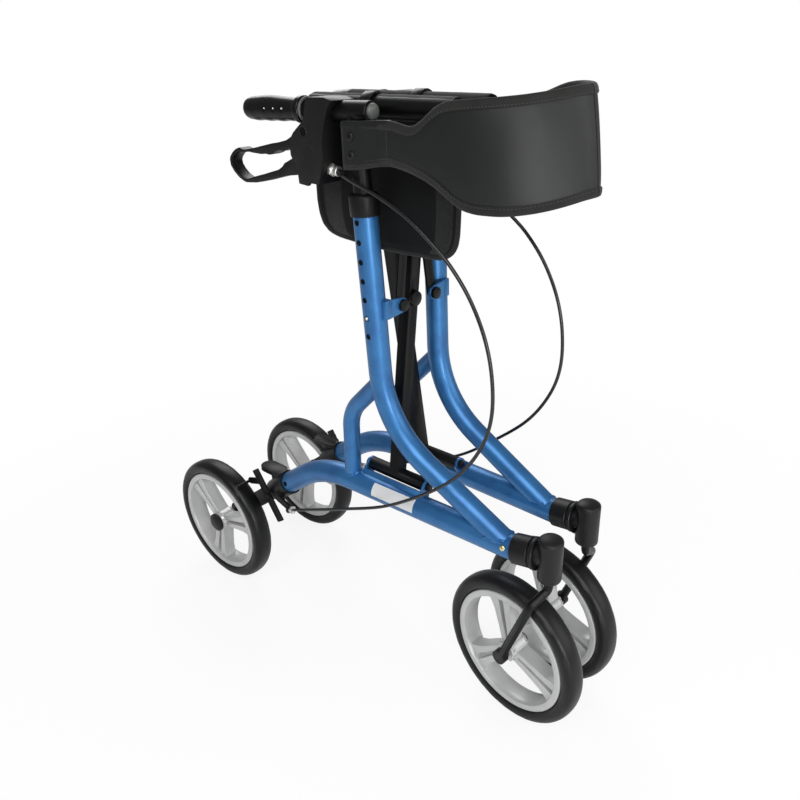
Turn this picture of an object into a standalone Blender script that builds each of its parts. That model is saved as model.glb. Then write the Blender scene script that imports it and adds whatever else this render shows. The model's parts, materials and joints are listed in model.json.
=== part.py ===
"""A folding aluminium rollator, shown folded, with +X forward, +Y to the user's left and +Z up.

The right half is described first and the left half is its mirror image. Lengths along X are
measured from the rear axle, and one empty shifts the whole object so that its box is centred.
"""

import math

import bmesh
import bpy
from mathutils import Matrix, Vector

# Wheels
WHEEL_RADIUS = 0.1016
TYRE_WIDTH = 0.030
TYRE_TREAD = 0.014
TYRE_SHOULDER = 0.0035
RIM_RADIUS = 0.0830
RIM_WIDTH = 0.0266
RIM_DEPTH = 0.0065
RIM_LIP = 0.0030
WHEEL_SIDES = 32
SPOKE_GROUPS = 3
SPOKE_THICKNESS = 0.0085
SPOKE_HUB_HALF = 0.0105
SPOKE_RIM_HALF = 0.0165
SPOKE_SLOT_HALF = 0.0038
SPOKE_SLOT_START = 0.027
SPOKE_SLOT_END = 0.070
HUB_RADIUS = 0.0155
AXLE_RADIUS = 0.0045
REAR_TRACK_HALF = 0.090
REAR_SPIN = math.radians(24)
FRONT_SPIN = math.radians(10)

# Casters
STEM_X = 0.5725
STEM_Y = 0.0445
CASTER_TRAIL = 0.0487
CASTER_TURN = math.radians(-7.4)
FORK_ROD_RADIUS = 0.0055
FORK_OFFSET = 0.0250
HEAD_RADIUS = 0.0145
HEAD_BOTTOM = 0.2360
HEAD_TOP = 0.2895
HEAD_DOME = 0.0045

# Side frame tubes, with X and Z in the plane of the side frame
MAIN_RADIUS = 0.0143
MAIN_BORE = 0.0126
MAIN_BEND = 0.13
POST_TOP = Vector((0.3242, 0.6400))
MAIN_CORNER = Vector((0.3341, 0.3644))
MAIN_END = Vector((0.5135, 0.2627))
MAIN_BORE_END = Vector((0.4200, 0.3157))
LOWER_RADIUS = 0.0158
LOWER_BORE = 0.0142
LOWER_BEND = 0.16
LOWER_REAR = Vector((0.1200, 0.1934))
LOWER_CORNER = Vector((0.2121, 0.2600))
LOWER_FRONT = Vector((0.5275, 0.2600))
STRUT_RADIUS = 0.0111
STRUT_BEND = 0.06
STRUT_FOOT = Vector((0.2690, 0.2640))
STRUT_CORNER = Vector((0.2745, 0.3660))
STRUT_RISE = math.radians(45.6)
STRUT_REACH = 0.082

# The two side frames toe in towards the front and lean out towards the top
FRAME_GAP = 0.1117
FRAME_TOE = -0.0476
FRAME_LEAN = 0.0487
FRAME_GAP_X = 0.3
FRAME_GAP_Z = 0.4

# Height adjustment
HOLE_RADIUS = 0.0028
HOLE_COUNT = 7
HOLE_FIRST = 0.6216
HOLE_PITCH = 0.0224
BUTTON_HOLE = 5
BUTTON_RADIUS = 0.0023
BUTTON_PROUD = 0.0016
INNER_POST_FIT = 0.0017
INNER_POST_RADIUS = MAIN_BORE - INNER_POST_FIT
INNER_POST_BORE = 0.0094
INNER_POST_BOTTOM = 0.4635
COLLAR_WALL = 0.0029
COLLAR_RADIUS = MAIN_RADIUS + COLLAR_WALL
COLLAR_BOTTOM = 0.628
COLLAR_TOP = 0.652

# Cross brace
FOOT_RISE = 0.0072
BRACE_FOOT = Vector((-0.034, LOWER_FRONT.y + LOWER_RADIUS + FOOT_RISE))
BRACE_LOWER = 0.2376
BRACE_UPPER = 0.2233
LINK_ALONG = 0.1064
ARM_WIDTH = 0.017
ARM_A_X = (0.3255, 0.3400)
ARM_B_X = (0.3090, 0.3235)
ARM_FOOT_RADIUS = 0.009
PIN_RADIUS = 0.0040
PIN_HEAD_RADIUS = 0.0065
CHANNEL_X = (0.285, 0.385)
CHANNEL_HALF_WIDTH = 0.0105
CHANNEL_BASE = 0.0028
EAR_THICKNESS = 0.003
KNOB_RADIUS = 0.0095
LINK_PIVOT = Vector((-0.030, 0.519))
LINK_X = (0.3413, 0.3446)
LINK_HALF_WIDTH = 0.0070
TAB_X = (0.3450, 0.3485)

# Seat
RAIL_RADIUS = 0.0125
RAIL_BORE = 0.0108
RAIL_X = (0.224, 0.430)
RAIL_FIT = 0.0007
EYE_WALL = 0.0033
EYE_BORE = RAIL_RADIUS + RAIL_FIT
EYE_RADIUS = EYE_BORE + EYE_WALL
SEAT_X = (0.230, 0.420)
SEAT_HINGE_Y = -0.0125
SEAT_PANEL = 0.081
SEAT_THICKNESS = 0.0020
SEAT_FOLD = math.radians(3.4)
POCKET_REAR_X = (0.225, 0.300)
POCKET_FRONT_X = (0.357, 0.428)
POCKET_Y = (-0.0084, -0.0028)
POCKET_BOTTOM = 0.572
POCKET_CORNER = 0.030

# Handles
BAR_RADIUS = 0.0110
BAR_BORE = 0.0094
BAR_FRONT = Vector((0.3470, -0.0630, 0.7375))
BAR_REAR = Vector((0.1525, -0.0680, 0.7345))
BAR_PLUG_RADIUS = 0.0072
BAR_PLUG_LENGTH = 0.0035
GRIP_LENGTH = 0.098
GRIP_FIT = 0.0006
GRIP_BORE = BAR_RADIUS + GRIP_FIT
GRIP_CAP = 0.0030
HOUSING_Y = (-0.0840, -0.0505)
HOUSING_WALL = 0.0040
LEVER_PIVOT = Vector((0.260, 0.7150))
LEVER_Y = (-0.0755, -0.0595)
LEVER_HUB = 0.0080
ADJUSTER_RADIUS = 0.0042
ADJUSTER_FRONT = 0.2972
ADJUSTER_Y = -0.0700
ADJUSTER_Z = 0.6745

# Backrest strap
BRACKET_X = (0.3210, 0.3420)
BRACKET_Y = (-0.0856, -0.0812)
BRACKET_Z = (0.6810, 0.7285)
BAND_THICKNESS = 0.0045
BAND_END_THICKNESS = 0.0020
BAND_HINGE_X = 0.3430

# Rear brake
BRAKE_PIVOT = Vector((0.1050, 0.1790))
BRAKE_TOP = Vector((0.0831, 0.2125))
BRAKE_BOTTOM = Vector((0.1257, 0.1475))
BRAKE_Y = (-0.0792, -0.0762)
BRAKE_HALF_WIDTH = 0.0060
BRAKE_TOE = Vector((0.0640, 0.1905))
BRAKE_TOE_FROM = Vector((0.0900, 0.2000))
BRAKE_ROD_RADIUS = 0.0025
BRAKE_ROD_PAST = 0.0140
BRAKE_ROD_END = -REAR_TRACK_HALF - BRAKE_ROD_PAST
PEDAL_REAR = (0.0850, -0.0545)
PEDAL_FRONT = (0.1080, -0.0545)
PEDAL_Z = 0.2095
SLEEVE_WALL = 0.0027
SLEEVE_RADIUS = LOWER_RADIUS + SLEEVE_WALL
SLEEVE_START = 0.018
SLEEVE_REACH = 0.030
CABLE_STOP = Vector((0.1600, -0.0775, 0.1760))

CABLE_RADIUS = 0.0024
CABLE_POINTS = 36
CLEARANCE = 0.0003
TUBE_SIDES = 16
SMALL_SIDES = 12
CENTRE_BACK = 0.02412
CENTRE_X = STEM_X / 2 - CENTRE_BACK

CABLE_ROUTE = (
    (0.2984, -0.0700, 0.6745),
    (0.3100, -0.0752, 0.6722),
    (0.3240, -0.0773, 0.6668),
    (0.3400, -0.0775, 0.6615),
    (0.3580, -0.0785, 0.6555),
    (0.3890, -0.0800, 0.6400),
    (0.4196, -0.0800, 0.6222),
    (0.4569, -0.0800, 0.5906),
    (0.4873, -0.0800, 0.5478),
    (0.5105, -0.0800, 0.4931),
    (0.5120, -0.0800, 0.4400),
    (0.4993, -0.0800, 0.3998),
    (0.4707, -0.0800, 0.3562),
    (0.4260, -0.0800, 0.3144),
    (0.3526, -0.0800, 0.2641),
    (0.2756, -0.0800, 0.2274),
    (0.2050, -0.0790, 0.1960),
)

COLOURS = {
    "frame_blue": ((0.035, 0.165, 0.42), 0.28, 0.75),
    "black_plastic": ((0.012, 0.012, 0.013), 0.45, 0.0),
    "black_metal": ((0.010, 0.010, 0.011), 0.35, 0.6),
    "tyre_rubber": ((0.018, 0.018, 0.018), 0.55, 0.0),
    "rim_silver": ((0.62, 0.62, 0.64), 0.35, 0.55),
    "steel": ((0.55, 0.55, 0.55), 0.25, 1.0),
    "fabric": ((0.013, 0.013, 0.014), 0.75, 0.0),
}


def clear_scene():
    for obj in list(bpy.data.objects):
        bpy.data.objects.remove(obj)


def material(name):
    if name in bpy.data.materials:
        return bpy.data.materials[name]
    colour, roughness, metallic = COLOURS[name]
    made = bpy.data.materials.new(name)
    made.use_nodes = True
    shader = made.node_tree.nodes["Principled BSDF"]
    shader.inputs["Base Color"].default_value = (*colour, 1)
    shader.inputs["Roughness"].default_value = roughness
    shader.inputs["Metallic"].default_value = metallic
    return made


def frame_half(x, z):
    """Half the gap between the planes of the two side frames, at x and z."""
    return (FRAME_GAP + FRAME_TOE * (x - FRAME_GAP_X) + FRAME_LEAN * (z - FRAME_GAP_Z)) / 2


def on_frame(point):
    """The point (x, z) of the right side frame, in space."""
    return Vector((point.x, -frame_half(point.x, point.y), point.y))


def post_point(z):
    """The post's axis at height z, where the post is straight."""
    slope = (MAIN_CORNER.x - POST_TOP.x) / (MAIN_CORNER.y - POST_TOP.y)
    return on_frame(Vector((POST_TOP.x + slope * (z - POST_TOP.y), z)))


def post_direction():
    return (post_point(COLLAR_TOP) - post_point(INNER_POST_BOTTOM)).normalized()


def hole_point(number):
    """The place of an adjustment hole on the post's axis, counted from the top."""
    return post_point(HOLE_FIRST) - post_direction() * HOLE_PITCH * number


def rounded_path(points, radius, step=math.radians(9)):
    """A path through the points whose inner corners are arcs of the radius."""
    path = [points[0]]
    for before, corner, after in zip(points, points[1:], points[2:]):
        back = (before - corner).normalized()
        ahead = (after - corner).normalized()
        turn = math.pi - back.angle(ahead)
        reach = radius * math.tan(turn / 2)
        centre = corner + (back + ahead).normalized() * radius / math.cos(turn / 2)
        start = corner + back * reach - centre
        axis = start.cross(corner + ahead * reach - centre).normalized()
        count = max(2, math.ceil(turn / step))
        for index in range(count + 1):
            path.append(centre + Matrix.Rotation(turn * index / count, 3, axis) @ start)
    path.append(points[-1])
    return path


def smooth_route(points, count):
    """Points at even spacing along a smooth curve through the given points."""
    ends = [2 * points[0] - points[1], *points, 2 * points[-1] - points[-2]]
    fine = []
    for a, b, c, d in zip(ends, ends[1:], ends[2:], ends[3:]):
        for index in range(20):
            t = index / 20
            fine.append(
                0.5 * (2 * b + (c - a) * t + (2 * a - 5 * b + 4 * c - d) * t * t
                       + (3 * b - 3 * c + d - a) * t * t * t)
            )
    fine.append(points[-1])
    lengths = [0.0]
    for here, there in zip(fine, fine[1:]):
        lengths.append(lengths[-1] + (there - here).length)
    route = []
    place = 0
    for index in range(count):
        target = lengths[-1] * index / (count - 1)
        while place < len(fine) - 2 and lengths[place + 1] < target:
            place += 1
        share = (target - lengths[place]) / (lengths[place + 1] - lengths[place])
        route.append(fine[place].lerp(fine[place + 1], share))
    return route


def tube_curve(name, path, radius, sides):
    curve = bpy.data.curves.new(name, "CURVE")
    curve.dimensions = "3D"
    curve.twist_mode = "MINIMUM"
    curve.bevel_depth = radius
    curve.bevel_resolution = (sides - 4) // 2
    curve.use_fill_caps = True
    spline = curve.splines.new("POLY")
    spline.points.add(len(path) - 1)
    for target, point in zip(spline.points, path):
        target.co = (*point, 1)
    return curve


def closed(mesh):
    """The mesh with its seams welded and every face turned outwards."""
    work = bmesh.new()
    work.from_mesh(mesh)
    bmesh.ops.remove_doubles(work, verts=work.verts, dist=1e-6)
    bmesh.ops.recalc_face_normals(work, faces=work.faces)
    work.to_mesh(mesh)
    work.free()
    return mesh


def tube(path, radius, sides=TUBE_SIDES):
    """A solid rod along the path."""
    curve = tube_curve("rod", path, radius, sides)
    guide = bpy.data.objects.new("rod", curve)
    bpy.context.scene.collection.objects.link(guide)
    mesh = bpy.data.meshes.new_from_object(guide.evaluated_get(bpy.context.evaluated_depsgraph_get()))
    bpy.data.objects.remove(guide)
    return closed(mesh)


def lathe(profile, start, direction, sides=TUBE_SIDES, turn=0.0):
    """A closed profile of (distance along the axis, radius) turned about the axis from start."""
    work = bmesh.new()
    rows = []
    for along, radius in profile:
        if radius == 0:
            rows.append([work.verts.new((0, 0, along))])
            continue
        ring = []
        for index in range(sides):
            angle = turn + 2 * math.pi * (index + 0.5) / sides
            ring.append(work.verts.new((radius * math.cos(angle), radius * math.sin(angle), along)))
        rows.append(ring)
    pairs = list(zip(rows, rows[1:]))
    if len(rows[0]) > 1 and len(rows[-1]) > 1:
        pairs.append((rows[-1], rows[0]))
    for low, high in pairs:
        for index in range(sides):
            after = (index + 1) % sides
            corners = [low[index % len(low)], low[after % len(low)]]
            corners += [high[after % len(high)], high[index % len(high)]]
            unique = list(dict.fromkeys(corners))
            if len(unique) > 2:
                work.faces.new(unique)
    bmesh.ops.recalc_face_normals(work, faces=work.faces)
    mesh = bpy.data.meshes.new("turned")
    work.to_mesh(mesh)
    work.free()
    turn_up = Vector((0, 0, 1)).rotation_difference(Vector(direction)).to_matrix().to_4x4()
    mesh.transform(Matrix.Translation(start) @ turn_up)
    return mesh


def rod(start, end, radius, sides=SMALL_SIDES):
    start = Vector(start)
    length = (Vector(end) - start).length
    profile = ((0, 0), (0, radius), (length, radius), (length, 0))
    return lathe(profile, start, Vector(end) - start, sides)


def sleeve(start, end, radius, bore, sides=TUBE_SIDES):
    start = Vector(start)
    length = (Vector(end) - start).length
    profile = ((0, bore), (0, radius), (length, radius), (length, bore))
    return lathe(profile, start, Vector(end) - start, sides)


def prism(outline, low, high, plane="xz"):
    """An outline in the named plane, extruded along the third axis from low to high."""
    work = bmesh.new()
    place = {
        "xz": lambda a, b: (a, low, b),
        "yz": lambda a, b: (low, a, b),
        "xy": lambda a, b: (a, b, low),
    }[plane]
    push = {"xz": (0, high - low, 0), "yz": (high - low, 0, 0), "xy": (0, 0, high - low)}[plane]
    face = work.faces.new([work.verts.new(place(a, b)) for a, b in outline])
    made = bmesh.ops.extrude_face_region(work, geom=[face])
    moved = [item for item in made["geom"] if isinstance(item, bmesh.types.BMVert)]
    bmesh.ops.translate(work, vec=push, verts=moved)
    bmesh.ops.recalc_face_normals(work, faces=work.faces)
    mesh = bpy.data.meshes.new("prism")
    work.to_mesh(mesh)
    work.free()
    return mesh


def box(x, y, z):
    return prism(((x[0], z[0]), (x[1], z[0]), (x[1], z[1]), (x[0], z[1])), y[0], y[1])


def arc(centre, radius, start, end, count):
    """Points (a, b) on an arc, with angles in degrees."""
    points = []
    for index in range(count + 1):
        angle = math.radians(start + (end - start) * index / count)
        points.append((centre[0] + radius * math.cos(angle), centre[1] + radius * math.sin(angle)))
    return points


def stadium(start, end, radius, count=5):
    """The outline of a bar with round ends between two points."""
    way = math.degrees(math.atan2(end[1] - start[1], end[0] - start[0]))
    return arc(end, radius, way - 90, way + 90, count) + arc(start, radius, way + 90, way + 270, count)


class Builder:
    """Places meshes as objects, mirrored for the left side, under one root empty."""

    def __init__(self):
        self.root = bpy.data.objects.new("rollator", None)
        self.root.location = (-CENTRE_X, 0, 0)
        bpy.context.scene.collection.objects.link(self.root)

    def place(self, name, mesh, pivot, left):
        mesh.transform(Matrix.Translation(-Vector(pivot)))
        pivot = Vector(pivot)
        if left:
            mesh.transform(Matrix.Scale(-1, 4, (0, 1, 0)))
            mesh.flip_normals()
            pivot.y = -pivot.y
        obj = bpy.data.objects.new(name, mesh)
        bpy.context.scene.collection.objects.link(obj)
        obj.parent = self.root
        obj.location = pivot
        return obj

    def node(self, name, mesh, colour, pivot=(0, 0, 0), left=False, joined=(), cuts=()):
        """A piece with other meshes joined to it and then cutters taken from it."""
        obj = self.place(name, mesh, pivot, left)
        obj.data.materials.clear()
        obj.data.materials.append(material(colour))
        for index, other in enumerate(joined):
            self.boolean(obj, f"{name}_add{index}", other, pivot, left, "UNION")
        for index, other in enumerate(cuts):
            self.boolean(obj, f"{name}_cut{index}", other, pivot, left, "DIFFERENCE")
        obj.data.shade_smooth()
        obj.data.set_sharp_from_angle(angle=math.radians(35))
        return obj

    def boolean(self, obj, name, mesh, pivot, left, operation):
        tool = self.place(name, mesh, pivot, left)
        tool.hide_render = True
        tool.display_type = "WIRE"
        tool.parent = obj
        tool.location = (0, 0, 0)
        step = obj.modifiers.new(name, "BOOLEAN")
        step.operation = operation
        step.object = tool


def brace_way():
    """The direction of the arm from the right foot up to the left rail, in Y and Z."""
    lean = math.asin(-BRACE_FOOT.x / BRACE_LOWER)
    return Vector((math.sin(lean), math.cos(lean)))


def brace_centre():
    return BRACE_FOOT + brace_way() * BRACE_LOWER


def rail_centre():
    """The right seat rail, at the upper end of the arm from the left foot."""
    way = brace_way()
    return brace_centre() + Vector((-way.x, way.y)) * BRACE_UPPER


def link_top():
    way = brace_way()
    return brace_centre() + Vector((-way.x, way.y)) * LINK_ALONG


def main_axis():
    return [on_frame(point) for point in (POST_TOP, MAIN_CORNER, MAIN_END)]


def lower_axis():
    return [on_frame(point) for point in (LOWER_REAR, LOWER_CORNER, LOWER_FRONT)]


def strut_axis():
    end = STRUT_CORNER + Vector((math.cos(STRUT_RISE), math.sin(STRUT_RISE))) * STRUT_REACH
    return [on_frame(point) for point in (STRUT_FOOT, STRUT_CORNER, end)]


def main_solid(extra=0.0):
    return tube(rounded_path(main_axis(), MAIN_BEND), MAIN_RADIUS + extra)


def lower_solid(extra=0.0):
    rear, corner, front = lower_axis()
    rear += (rear - corner).normalized() * extra
    front += (front - corner).normalized() * extra
    return tube(rounded_path([rear, corner, front], LOWER_BEND), LOWER_RADIUS + extra)


def main_tube(make, side, left):
    above = post_point(COLLAR_TOP)
    bore_points = [above, on_frame(MAIN_CORNER), on_frame(MAIN_BORE_END)]
    bore = tube(rounded_path(bore_points, MAIN_BEND), MAIN_BORE)
    pivot = LINK_PIVOT
    tab = prism(stadium((-0.052, pivot.y), tuple(pivot), 0.0092), *TAB_X, plane="yz")
    root = box((0.334, TAB_X[1]), (-0.0600, -0.0480), (pivot.y - 0.0115, pivot.y + 0.0115))
    hole = rod((TAB_X[0] - 0.01, *pivot), (TAB_X[1] + 0.01, *pivot), PIN_RADIUS + 0.0004)
    cuts = [bore, lower_solid(CLEARANCE), hole]
    for number in range(HOLE_COUNT):
        centre = hole_point(number)
        outside = centre - Vector((0, MAIN_RADIUS + 0.01, 0))
        cuts.append(rod(outside, centre, HOLE_RADIUS, 8))
    make.node(f"main_tube_{side}", main_solid(), "frame_blue", left=left, joined=(root, tab), cuts=cuts)


def lower_tube(make, side, left):
    points = lower_axis()
    behind = (points[0] - points[1]).normalized() * 0.01
    ahead = (points[2] - points[1]).normalized() * 0.01
    bore_points = [points[0] + behind, points[1], points[2] + ahead]
    bore = tube(rounded_path(bore_points, LOWER_BEND), LOWER_BORE)
    make.node(f"lower_tube_{side}", lower_solid(), "frame_blue", left=left, cuts=(bore,))


def rear_strut(make, side, left):
    solid = tube(rounded_path(strut_axis(), STRUT_BEND, math.radians(12)), STRUT_RADIUS)
    cuts = (main_solid(CLEARANCE), lower_solid(CLEARANCE))
    make.node(f"rear_strut_{side}", solid, "frame_blue", left=left, cuts=cuts)


def brace_channel(make, side, left):
    """A saddle welded on the lower tube, with an ear at each end for the brace's foot."""
    middle = (CHANNEL_X[0] + CHANNEL_X[1]) / 2
    tube_at = on_frame(Vector((middle, LOWER_FRONT.y)))
    tube_yz = Vector((tube_at.y, tube_at.z))
    up = (BRACE_FOOT - tube_yz).normalized()
    along = Vector((up.y, -up.x)) * CHANNEL_HALF_WIDTH
    low = tube_yz + up * 0.009
    top = tube_yz + up * (LOWER_RADIUS + CHANNEL_BASE)
    base = prism([tuple(low - along), tuple(low + along), tuple(top + along), tuple(top - along)],
                 *CHANNEL_X, plane="yz")
    ears = []
    for start in (CHANNEL_X[0], CHANNEL_X[1] - EAR_THICKNESS):
        outline = stadium(tuple(low), tuple(BRACE_FOOT), CHANNEL_HALF_WIDTH - 0.001)
        ears.append(prism(outline, start, start + EAR_THICKNESS, plane="yz"))
    hole = rod((CHANNEL_X[0] - 0.01, *BRACE_FOOT), (CHANNEL_X[1] + 0.01, *BRACE_FOOT),
               PIN_RADIUS + 0.0004)
    make.node(f"brace_channel_{side}", base, "frame_blue", left=left, joined=ears,
              cuts=(lower_solid(CLEARANCE), hole))


def post_collar(make, side, left):
    start = post_point(COLLAR_BOTTOM)
    height = (post_point(COLLAR_TOP) - start).length
    step = (post_point(POST_TOP.y) - start).length + CLEARANCE
    over_tube = MAIN_RADIUS + 0.0006
    over_post = INNER_POST_RADIUS + 0.0006
    profile = ((0, over_tube), (0, COLLAR_RADIUS), (height - 0.002, COLLAR_RADIUS),
               (height, COLLAR_RADIUS - 0.002), (height, over_post), (step, over_post),
               (step, over_tube))
    make.node(f"post_collar_{side}", lathe(profile, start, post_direction()), "black_plastic", left=left)


def bar_direction():
    return (BAR_REAR - BAR_FRONT).normalized()


def inner_post(make, side, left):
    top = post_point(BAR_FRONT.z)
    solid = sleeve(post_point(INNER_POST_BOTTOM), top, INNER_POST_RADIUS, INNER_POST_BORE)
    bar = rod(BAR_FRONT - bar_direction() * 0.02, BAR_REAR, BAR_RADIUS + CLEARANCE, TUBE_SIDES)
    button = hole_point(BUTTON_HOLE)
    hole = rod(button - Vector((0, 0.02, 0)), button, HOLE_RADIUS + 0.0004, 8)
    make.node(f"inner_post_{side}", solid, "black_metal", pivot=top, left=left, cuts=(bar, hole))


def spring_button(make, side, left):
    centre = hole_point(BUTTON_HOLE)
    inner = centre - Vector((0, MAIN_BORE, 0))
    length = MAIN_RADIUS + BUTTON_PROUD - MAIN_BORE
    profile = ((0, 0), (0, BUTTON_RADIUS), (length - 0.0010, BUTTON_RADIUS),
               (length, BUTTON_RADIUS * 0.6), (length, 0))
    solid = lathe(profile, inner, (0, -1, 0), 10)
    make.node(f"spring_button_{side}", solid, "steel", pivot=centre, left=left)


def handle_bar(make, side, left):
    length = (BAR_REAR - BAR_FRONT).length
    plug = BAR_PLUG_LENGTH
    profile = ((0, 0), (0, BAR_PLUG_RADIUS * 0.6), (plug * 0.5, BAR_PLUG_RADIUS),
               (plug, BAR_PLUG_RADIUS), (plug, BAR_RADIUS - 0.001), (plug + 0.001, BAR_RADIUS),
               (length, BAR_RADIUS), (length, BAR_BORE), (plug + 0.02, BAR_BORE), (plug + 0.02, 0))
    solid = lathe(profile, BAR_FRONT, bar_direction())
    make.node(f"handle_bar_{side}", solid, "black_metal", pivot=BAR_FRONT, left=left)


def grip(make, side, left):
    """A moulded grip with a palm swell and a closed rear end."""
    end = BAR_REAR + bar_direction() * (GRIP_CAP + CLEARANCE)
    inside = GRIP_CAP
    outline = [(0, 0.0070), (0.003, 0.0118), (0.010, 0.0132), (0.026, 0.0134), (0.046, 0.0146),
               (0.064, 0.0136), (0.082, 0.0127), (0.090, 0.0150), (GRIP_LENGTH, 0.0150)]
    profile = [(0, 0), *outline, (GRIP_LENGTH, GRIP_BORE), (inside, GRIP_BORE), (inside, 0)]
    solid = lathe(profile, end, -bar_direction())
    make.node(f"grip_{side}", solid, "black_plastic", pivot=end, left=left)


def lever_housing(make, side, left):
    outline = ((0.2680, 0.7505), (0.2600, 0.7265), (0.2426, 0.7134), (0.2352, 0.7050),
               (0.2350, 0.6890), (0.2380, 0.6830), (0.2425, 0.6800), (0.2447, 0.6679),
               (0.2455, 0.6579), (0.2598, 0.6565), (0.2623, 0.6599), (0.2778, 0.6596),
               (0.2824, 0.6712), (0.2875, 0.6860), (0.2867, 0.7039), (0.2921, 0.7237),
               (0.2990, 0.7405), (0.3060, 0.7480), (0.2950, 0.7510))
    solid = prism(outline, *HOUSING_Y)
    inside = (HOUSING_Y[0] + HOUSING_WALL, HOUSING_Y[1] - HOUSING_WALL)
    cavity = prism(((0.2250, 0.6400), (0.2600, 0.6400), (0.2640, 0.6625), (0.2740, 0.6625),
                    (0.2790, 0.6760), (0.2790, 0.7235), (0.2250, 0.7235)), *inside)
    pin = rod((LEVER_PIVOT.x, HOUSING_Y[0] + 0.001, LEVER_PIVOT.y),
              (LEVER_PIVOT.x, HOUSING_Y[1] - 0.001, LEVER_PIVOT.y), PIN_RADIUS)
    bar = rod(BAR_FRONT - bar_direction() * 0.02, BAR_REAR, BAR_RADIUS + CLEARANCE, TUBE_SIDES)
    adjuster = rod((0.2810, ADJUSTER_Y, ADJUSTER_Z), (ADJUSTER_FRONT, ADJUSTER_Y, ADJUSTER_Z),
                   ADJUSTER_RADIUS)
    obj = make.node(f"lever_housing_{side}", solid, "black_plastic", pivot=BAR_FRONT, left=left,
                    joined=(adjuster,), cuts=(cavity, bar))
    make.boolean(obj, f"lever_housing_{side}_pin", pin, BAR_FRONT, left, "UNION")


def brake_lever(make, side, left):
    """A loop for the fingers on a hub that turns on the housing's pin."""
    outer = [(0.2330, 0.6651), (0.2138, 0.6626), (0.1949, 0.6580), (0.1705, 0.6520)]
    outer += [(0.1580, 0.6497), (0.1456, 0.6486), (0.1381, 0.6482), (0.1333, 0.6493)]
    outer += [(0.1240, 0.6535), (0.1163, 0.6595), (0.1112, 0.6660), (0.1101, 0.6729)]
    outer += [(0.1115, 0.6768), (0.1172, 0.6825), (0.1240, 0.6868), (0.1310, 0.6890)]
    outer += [(0.1390, 0.6872), (0.1442, 0.6876), (0.1529, 0.6890), (0.1677, 0.6921)]
    outer += [(0.1821, 0.6952), (0.1939, 0.6978), (0.2055, 0.6996), (0.2200, 0.7030)]
    outer += [(0.2400, 0.7130), *arc(LEVER_PIVOT, LEVER_HUB, 165, 0, 6)]
    outer += [(0.2680, 0.6900), (0.2600, 0.6720)]
    inner = [(0.2128, 0.6768), (0.2083, 0.6724), (0.2010, 0.6685), (0.1891, 0.6653)]
    inner += [(0.1769, 0.6620), (0.1520, 0.6557), (0.1400, 0.6522), (0.1350, 0.6527)]
    inner += [(0.1268, 0.6560), (0.1195, 0.6617), (0.1150, 0.6670), (0.1141, 0.6722)]
    inner += [(0.1165, 0.6762), (0.1215, 0.6805), (0.1280, 0.6838), (0.1360, 0.6838)]
    inner += [(0.1499, 0.6852), (0.1582, 0.6846), (0.1724, 0.6841), (0.1808, 0.6850)]
    inner += [(0.1876, 0.6844), (0.1948, 0.6864), (0.1999, 0.6896), (0.2069, 0.6910)]
    inner += [(0.2135, 0.6904), (0.2181, 0.6916), (0.2235, 0.6944), (0.2290, 0.6900)]
    inner += [(0.2290, 0.6840), (0.2200, 0.6800)]
    solid = prism(outer, *LEVER_Y)
    gap = prism(inner, LEVER_Y[0] - 0.01, LEVER_Y[1] + 0.01)
    centre = (LEVER_PIVOT.x, 0, LEVER_PIVOT.y)
    hole = rod((LEVER_PIVOT.x, -0.09, LEVER_PIVOT.y), (LEVER_PIVOT.x, -0.04, LEVER_PIVOT.y),
               PIN_RADIUS + 0.0004)
    pivot = (centre[0], (LEVER_Y[0] + LEVER_Y[1]) / 2, centre[2])
    make.node(f"brake_lever_{side}", solid, "black_plastic", pivot=pivot, left=left, cuts=(gap, hole))


def backrest_bracket(make, side, left):
    plate = box(BRACKET_X, BRACKET_Y, BRACKET_Z)
    block = box((BRACKET_X[0] + 0.001, 0.3330), (BRACKET_Y[1] - 0.001, -0.066), (0.6935, 0.7160))
    low = post_point(INNER_POST_BOTTOM)
    post = rod(low, low + post_direction() * 0.4, INNER_POST_RADIUS + CLEARANCE, TUBE_SIDES)
    make.node(f"backrest_bracket_{side}", plate, "black_metal", pivot=BAR_FRONT, left=left,
              joined=(block,), cuts=(post,))


def brake_cable(make, side, left):
    points = [Vector(point) for point in CABLE_ROUTE]
    points.append(CABLE_STOP + (points[-1] - CABLE_STOP).normalized() * CLEARANCE)
    if left:
        points = [Vector((point.x, -point.y, point.z)) for point in points]
    name = f"brake_cable_{side}"
    curve = tube_curve(name, smooth_route(points, CABLE_POINTS), CABLE_RADIUS, 6)
    curve.materials.append(material("black_plastic"))
    obj = bpy.data.objects.new(name, curve)
    bpy.context.scene.collection.objects.link(obj)
    obj.parent = make.root


def socket_axis():
    direction = (on_frame(LOWER_REAR) - on_frame(LOWER_CORNER)).normalized()
    return on_frame(LOWER_REAR), direction


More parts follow.
